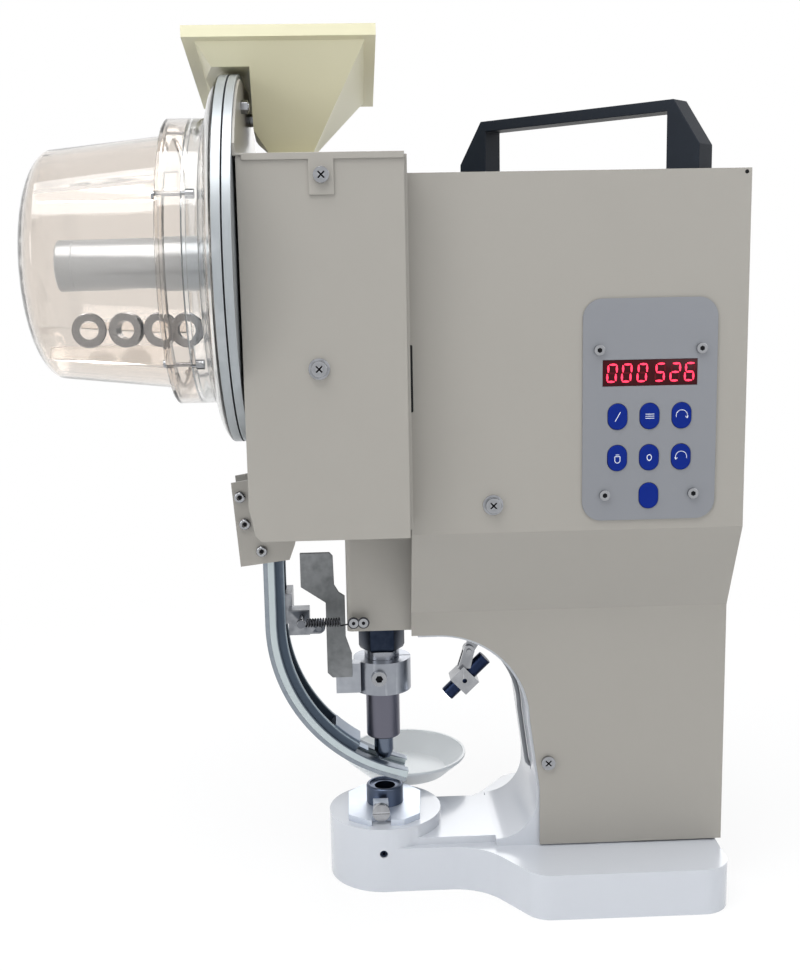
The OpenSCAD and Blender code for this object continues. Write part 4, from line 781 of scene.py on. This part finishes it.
# ----------------------------------------------------------------------
# The feeder's housing: a folded sheet box on the head's left, with a lid held by a tab on each
# side, the moulded funnel on top and the thick grey plate in which the drum turns.
eased("feeder_box", "feeder_box_folded", beige, 0.5, flat_over=4)
eased("feeder_lid", "feeder_lid_folded", beige, 0.4, flat_over=4)
cream = finish("cream_plastic", screen(222, 217, 186), rough=0.36, play=0.1, clouds=0.05,
               scale=700.0, depth=0.02)
eased("funnel", "funnel_moulded", cream, 0.7)
DRUM_AXIS = ((0, 0, 0.495), (0, 1, 1), 900.0)
cast_alloy = finish("turned_alloy", screen(158, 163, 166), metallic=0.45, rough=0.36, play=0.1,
                    clouds=0.05, depth=0.01, rings=DRUM_AXIS, edge=screen(206, 209, 212), wear_and_highlight=0.3)
eased("back_plate", "fixed_back_plate", cast_alloy, 0.7)
track_blue = finish("blued_track", screen(112, 124, 140), metallic=0.8, rough=0.3, clouds=0.12,
                    scale=500.0, depth=0.008, edge=screen(190, 198, 208), wear_and_highlight=0.4)
eased("feed_chute", "feed_chute_folded", track_blue, 0.4)
eased("drum_motor", "drum_motor_case", motor_grey, 0.8)

# ----------------------------------------------------------------------
# The drum: a grey disc with pick-up windows. A clear flared rim, a clear ring and a clear bowl
# are screwed to it, with a hub down the middle, and loose eyelets lie in the bowl.
def clear_finish(name, colour, rough):
    """A clear moulded plastic."""
    mat = finish(name, colour, rough=rough, play=0.05, clouds=0.02, scale=40.0, depth=0.05,
                 glass=1.0)
    mat.node_tree.nodes["Principled BSDF"].inputs["IOR"].default_value = 1.45
    return mat


def smooth_line(points, parts=5):
    """A line through the points with rounded turns, each stretch cut into parts."""
    out = [points[0]]
    for i in range(len(points) - 1):
        p0, p1 = points[max(i - 1, 0)], points[i]
        p2, p3 = points[i + 1], points[min(i + 2, len(points) - 1)]
        for k in range(1, parts + 1):
            t = k / parts
            out.append(tuple(0.5 * (2 * b + (c - a) * t + (2 * a - 5 * b + 4 * c - d) * t * t
                                    + (3 * b - a - 3 * c + d) * t ** 3)
                             for a, b, c, d in zip(p0, p1, p2, p3)))
    return out


def lathe(bm, outline, centre, axis, steps=64, closed=False):
    """Spins an outline of (radius, along) pairs, in millimetres, round an axis."""
    axis = Vector(axis)
    side = axis.orthogonal().normalized()
    centre = Vector(centre)
    verts = [bm.verts.new((centre + side * r + axis * a) * MM) for r, a in outline]
    edges = [bm.edges.new(pair) for pair in zip(verts, verts[1:])]
    if closed:
        edges.append(bm.edges.new((verts[-1], verts[0])))
    bmesh.ops.spin(bm, geom=verts + edges, axis=axis, cent=centre * MM, angle=math.tau,
                   steps=steps, use_merge=True)
    bmesh.ops.remove_doubles(bm, verts=bm.verts[:], dist=1e-6)
    bmesh.ops.recalc_face_normals(bm, faces=bm.faces[:])


DISC_FRONT, FLARE_X, DISC_R, RING_R, DRUM_Z = -108.2, -132.2, 136.0, 106.0, 495.0
bm = bmesh.new()
bm.from_mesh(NODES["drum_disc"].data)
bmesh.ops.remove_doubles(bm, verts=bm.verts, dist=MERGE_WITHIN)
bmesh.ops.bisect_plane(bm, geom=bm.verts[:] + bm.edges[:] + bm.faces[:],
                       plane_co=((DISC_FRONT - 0.02) * MM, 0, 0), plane_no=(-1, 0, 0),
                       clear_outer=True)
bmesh.ops.bridge_loops(bm, edges=[e for e in bm.edges if len(e.link_faces) == 1])
bmesh.ops.dissolve_limit(bm, angle_limit=LEVEL_WITHIN, verts=bm.verts, edges=bm.edges)
round_edges(bm, 0.5, 50)
paint("drum_disc", cast_alloy)
level_faces(place_piece("drum_disc_turned", bm, "drum_group", cast_alloy,
                        ("drum_disc",)))

milky = clear_finish("milky_plastic", screen(238, 238, 237), 0.07)
outside = smooth_line([(DISC_R - 0.3, DISC_FRONT - 0.4), (DISC_R - 1.5, DISC_FRONT - 2.2),
                       (DISC_R - 9, DISC_FRONT - 6.5), (DISC_R - 21, DISC_FRONT - 9.5),
                       (RING_R + 1.2, DISC_FRONT - 12), (RING_R, DISC_FRONT - 14),
                       (RING_R, FLARE_X)])
inside = smooth_line([(RING_R - 3, FLARE_X + 3), (RING_R - 3, DISC_FRONT - 12),
                      (RING_R + 1, DISC_FRONT - 9), (DISC_R - 21, DISC_FRONT - 6.5),
                      (DISC_R - 10, DISC_FRONT - 3.5), (DISC_R - 5, DISC_FRONT - 0.4)])
bm = bmesh.new()
lathe(bm, outside + [(RING_R - 7.6, FLARE_X), (RING_R - 8, FLARE_X + 0.4),
                     (RING_R - 8, FLARE_X + 2.6), (RING_R - 7.6, FLARE_X + 3)] + inside,
      (0, 0, DRUM_Z), (1, 0, 0), 128, True)
place_piece("flared_rim", bm, "drum_group", milky, ("drum_disc",))
clear = clear_finish("clear_plastic", screen(238, 233, 228), 0.05)
eased("clear_ring", "clear_ring_moulded", clear, 0.5)
eased("clear_bowl", "clear_bowl_moulded", clear, 0.5)
hub_blue = finish("hub_alloy", screen(204, 212, 220), metallic=0.35, rough=0.3, clouds=0.08,
                  depth=0.01, rings=DRUM_AXIS, coat=0.3)
eased("drum_hub", "drum_hub_turned", hub_blue, 0.4)
eased("tie_screws", "tie_screw_set", zinc, 0.3)
eyelet_steel = finish("eyelet_nickel", screen(150, 152, 156), metallic=1.0, rough=0.22,
                      clouds=0.12, scale=900.0, depth=0.005, edge=screen(210, 212, 216), wear_and_highlight=0.4)
eased("loose_eyelets", "eyelet_set", eyelet_steel, 0.25)

# ----------------------------------------------------------------------
# The curved track: a bright rail and two folded side strips that carry the eyelets under the
# punch. It hangs between two cheeks that swing on a block on the ram housing.
def shade_and_highlight_bands(mat, centre, colours, edges):
    """Colours a finish by the distance from the track's centre, level above that centre, in bands
    of painted shade and painted highlight.
    """
    tree = mat.node_tree
    place = tree.nodes.new("ShaderNodeTexCoord").outputs["Object"]
    apart = tree.nodes.new("ShaderNodeSeparateXYZ")
    tree.links.new(place, apart.inputs[0])
    along = maths(tree, "SUBTRACT", apart.outputs["X"], centre[0])
    down = maths(tree, "MINIMUM", maths(tree, "SUBTRACT", apart.outputs["Z"], centre[2]), 0.0)
    reach = maths(tree, "SQRT", maths(tree, "ADD", maths(tree, "MULTIPLY", along, along),
                                      maths(tree, "MULTIPLY", down, down)), 0.0)
    tone = None
    for colour, edge in zip(colours[1:], edges):
        step = tree.nodes.new("ShaderNodeMapRange")
        step.inputs["From Min"].default_value = edge * MM
        step.inputs["From Max"].default_value = (edge + 0.6) * MM
        tree.links.new(reach, step.inputs["Value"])
        mix = tree.nodes.new("ShaderNodeMix")
        mix.data_type = "RGBA"
        tree.links.new(step.outputs[0], mix.inputs[0])
        mix.inputs[6].default_value = colours[0]
        if tone:
            tree.links.new(tone, mix.inputs[6])
        mix.inputs[7].default_value = colour
        tone = mix.outputs[2]
    body = next(n for n in tree.nodes if n.type == "GROUP" and n.node_tree == grain)
    tree.links.new(tone, body.inputs["Color"])
    return mat


eased("pivot_block", "track_pivot_block", milled, 0.5)
rail_bright = finish("rail_bright", screen(122, 132, 142), metallic=1.0, rough=0.24,
                     clouds=0.08, scale=420.0, depth=0.006, stretch=(1, 6, 1),
                     edge=screen(232, 234, 238), wear_and_highlight=0.4)
eased("track_rail", "track_rail_bent", rail_bright, 0.3)
# Painted light on the side strips: the darker middle band is painted shade in the groove, the
# lighter outer band a painted highlight on the strips' outer edge.
strip_steel_painted_bands = shade_and_highlight_bands(finish("strip_steel_painted_bands", screen(112, 124, 140), metallic=0.55, rough=0.38,
                            clouds=0.12, scale=500.0, depth=0.008,
                            edge=screen(190, 198, 208), wear_and_highlight=0.4),
                     (0.0435, 0, 0.2132), (screen(128, 142, 152), screen(60, 72, 86),
                                           screen(186, 196, 198)), (119.4, 126.3))
eased("track_sides", "track_side_strips", strip_steel_painted_bands, 0.3)
eased("swing_bracket", "swing_bracket_folded", beige, 0.4)
arm_steel = finish("arm_steel", screen(84, 88, 95), metallic=1.0, rough=0.32, clouds=0.2,
                   scale=700.0, depth=0.01, edge=screen(200, 202, 206), wear_and_highlight=0.5)
eased("roller_arm", "roller_arm_milled", arm_steel, 0.4)
eased("track_roller", "track_roller_turned", hardened, 0.3)
eased("gate_finger", "gate_finger_bent", track_blue, 0.3)

# ----------------------------------------------------------------------
# The bracket's screws: three zinc-plated cap screws with hexagon sockets, turned through the
# near cheek into the track.
CAP_R, CAP_TALL, CAP_FOOT, SOCKET_FLOOR = 4.4, 3.4, -19.4, 2.2
BRACKET_SCREWS = ((-106.9, 317.2), (-103.9, 296.0), (-91.7, 274.3))
bm = bmesh.new()
for x, z in BRACKET_SCREWS:
    lathe(bm, [(0.01, 1.4), (1.9, 1.5), (2.1, CAP_TALL - 0.2), (2.4, CAP_TALL),
               (3.5, CAP_TALL - 0.1), (4.1, CAP_TALL - 0.6), (CAP_R, CAP_TALL - 1.6), (CAP_R, 0),
               (0.01, 0)], (x, CAP_FOOT, z), (0, -1, 0), 32)
place_piece("bracket_screw_caps", bm, "track_group", zinc)
# Painted shade: dark plugs in the caps' hexagon sockets.
hex_socket_shade_plugs("bracket_screw_socket_shade", [(x, CAP_FOOT - SOCKET_FLOOR, z) for x, z in BRACKET_SCREWS],
          1.75, 0.7, "track_group")

# ----------------------------------------------------------------------
# The return spring: a coil of dark wire, hooked over two pins, which draws the roller
# against the cam plate. A wire ring lies round the head of each of its two anchor pins.
COIL_R, WIRE_R, COIL_TURNS = 3.0, 0.6, 13
SPRING_Y, SPRING_Z, POST_X, ANCHOR_X = -46.0, 223.0, -62.0, -22.0
COIL_FROM, COIL_TO, HOOK_R = -58.0, -32.0, 2.85
spring_points = [(POST_X + HOOK_R * math.cos(math.radians(a)), SPRING_Y,
                  SPRING_Z + HOOK_R * math.sin(math.radians(a))) for a in range(70, 326, 15)]
for i in range(STEPS_A_TURN * COIL_TURNS + 1):
    a = math.tau * i / STEPS_A_TURN
    spring_points.append((COIL_FROM + (COIL_TO - COIL_FROM) * i / (STEPS_A_TURN * COIL_TURNS),
                          SPRING_Y + COIL_R * math.sin(a), SPRING_Z - COIL_R * math.cos(a)))
spring_points += [(ANCHOR_X + HOOK_R * math.cos(math.radians(a)), SPRING_Y,
                   SPRING_Z + HOOK_R * math.sin(math.radians(a))) for a in range(215, 471, 15)]
dark_wire = finish("dark_spring_wire", screen(70, 71, 75), metallic=1.0, rough=0.3, scale=1500.0,
                   depth=0.003)
return_coil = wire("return_spring_coil", spring_points, WIRE_R, None, dark_wire,
                   "return_spring", True)
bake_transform(return_coil)
ANCHOR_PINS, ANCHOR_HEAD_Y = (ANCHOR_X, -14.5), -51.56
RING_REACH, RING_WIRE, RING_Y = 4.1, 0.5, -50.4
# Painted shade in the anchor pins' hexagon sockets.
hex_socket_shade_plugs("anchor_pin_socket_shade", [(x, ANCHOR_HEAD_Y, SPRING_Z) for x in ANCHOR_PINS], 1.5, 0.5,
          "base")
bm = bmesh.new()
for x in ANCHOR_PINS:
    lathe(bm, [(RING_REACH + RING_WIRE * math.cos(math.tau * i / 12),
                RING_WIRE * math.sin(math.tau * i / 12)) for i in range(12)],
          (x, RING_Y, SPRING_Z), (0, -1, 0), 40, True)
place_piece("anchor_pin_rings", bm, "base", dark_wire)

# ----------------------------------------------------------------------
# The body's screws: zinc-plated pan heads with cross recesses on both sides. With them come the
# back plate's studs, the handle's bolts and the spring's two anchor pins.
eased("body_screws", "body_screw_set", zinc, 0.4)
# Painted shade: dark bars laid in the cross recesses of the screw heads on both sides, where the
# recesses are dark only from shade.
CROSS_LONG, CROSS_WIDE, CROSS_DEEP = 5.9, 1.1, 1.2
CROSSES = ((127.0, -51.9, 105.8), (81.3, -87.1, 317.7), (-41.0, -112.1, 420.7),
           (-35.9, -112.4, 550.6))
bm = bmesh.new()
for x, y, z in CROSSES:
    for turn in (45, 135):
        for side in (1, -1):
            bmesh.ops.create_cube(bm, size=MM, matrix=Matrix.Translation(
                (x * MM, side * (y + CROSS_DEEP / 2) * MM, z * MM))
                @ Matrix.Rotation(math.radians(turn), 4, "Y")
                @ Matrix.Diagonal((CROSS_LONG, CROSS_DEEP, CROSS_WIDE, 1)))
place_piece("cross_recess_shade", bm, "base", recess_painted_shade)

# ----------------------------------------------------------------------
# The boss's set screw: black steel with a socket in its end, turned into the boss's
# front against the stud of the anvil plate.
bm = bmesh.new()
lathe(bm, [(0.01, -3.0), (1.5, -3.0), (1.6, -0.2), (2.6, 0), (3.15, -0.6), (3.15, -8), (0.01, -8)],
      (-2.8, -44.1, 32.0), (0, -1, 0), 32)
place_piece("boss_set_screw", bm, "base", black_oxide)

# ----------------------------------------------------------------------
# Painted shade: a black strip on the near cover's front edge darkens the gap between the feeder
# box and the head, and a small black dot in the cover's rear corner stands for a hole.
GAP_SHADE_PLACE, GAP_SHADE_SIZE = (22.9 * MM, -82.4 * MM, 410.4 * MM), (3.6, 2.6, 48.0, 1)
gap_and_hole_shade = finish("painted_gap_shade", screen(16, 17, 18), rough=0.6, scale=1200.0, depth=0.02, gleam=0.15)
bm = bmesh.new()
bmesh.ops.create_cube(bm, size=MM, matrix=Matrix.Translation(GAP_SHADE_PLACE)
                      @ Matrix.Diagonal(GAP_SHADE_SIZE))
round_edges(bm, 0.9, segments=3)
lathe(bm, [(0.01, 0.5), (0.9, 0.45), (1.4, 0.1), (1.5, -0.5), (0.01, -0.5)],
      (261.3, -83.0, 550.3), (0, -1, 0), 20)
place_piece("cover_gap_and_hole_shade", bm, "base", gap_and_hole_shade)
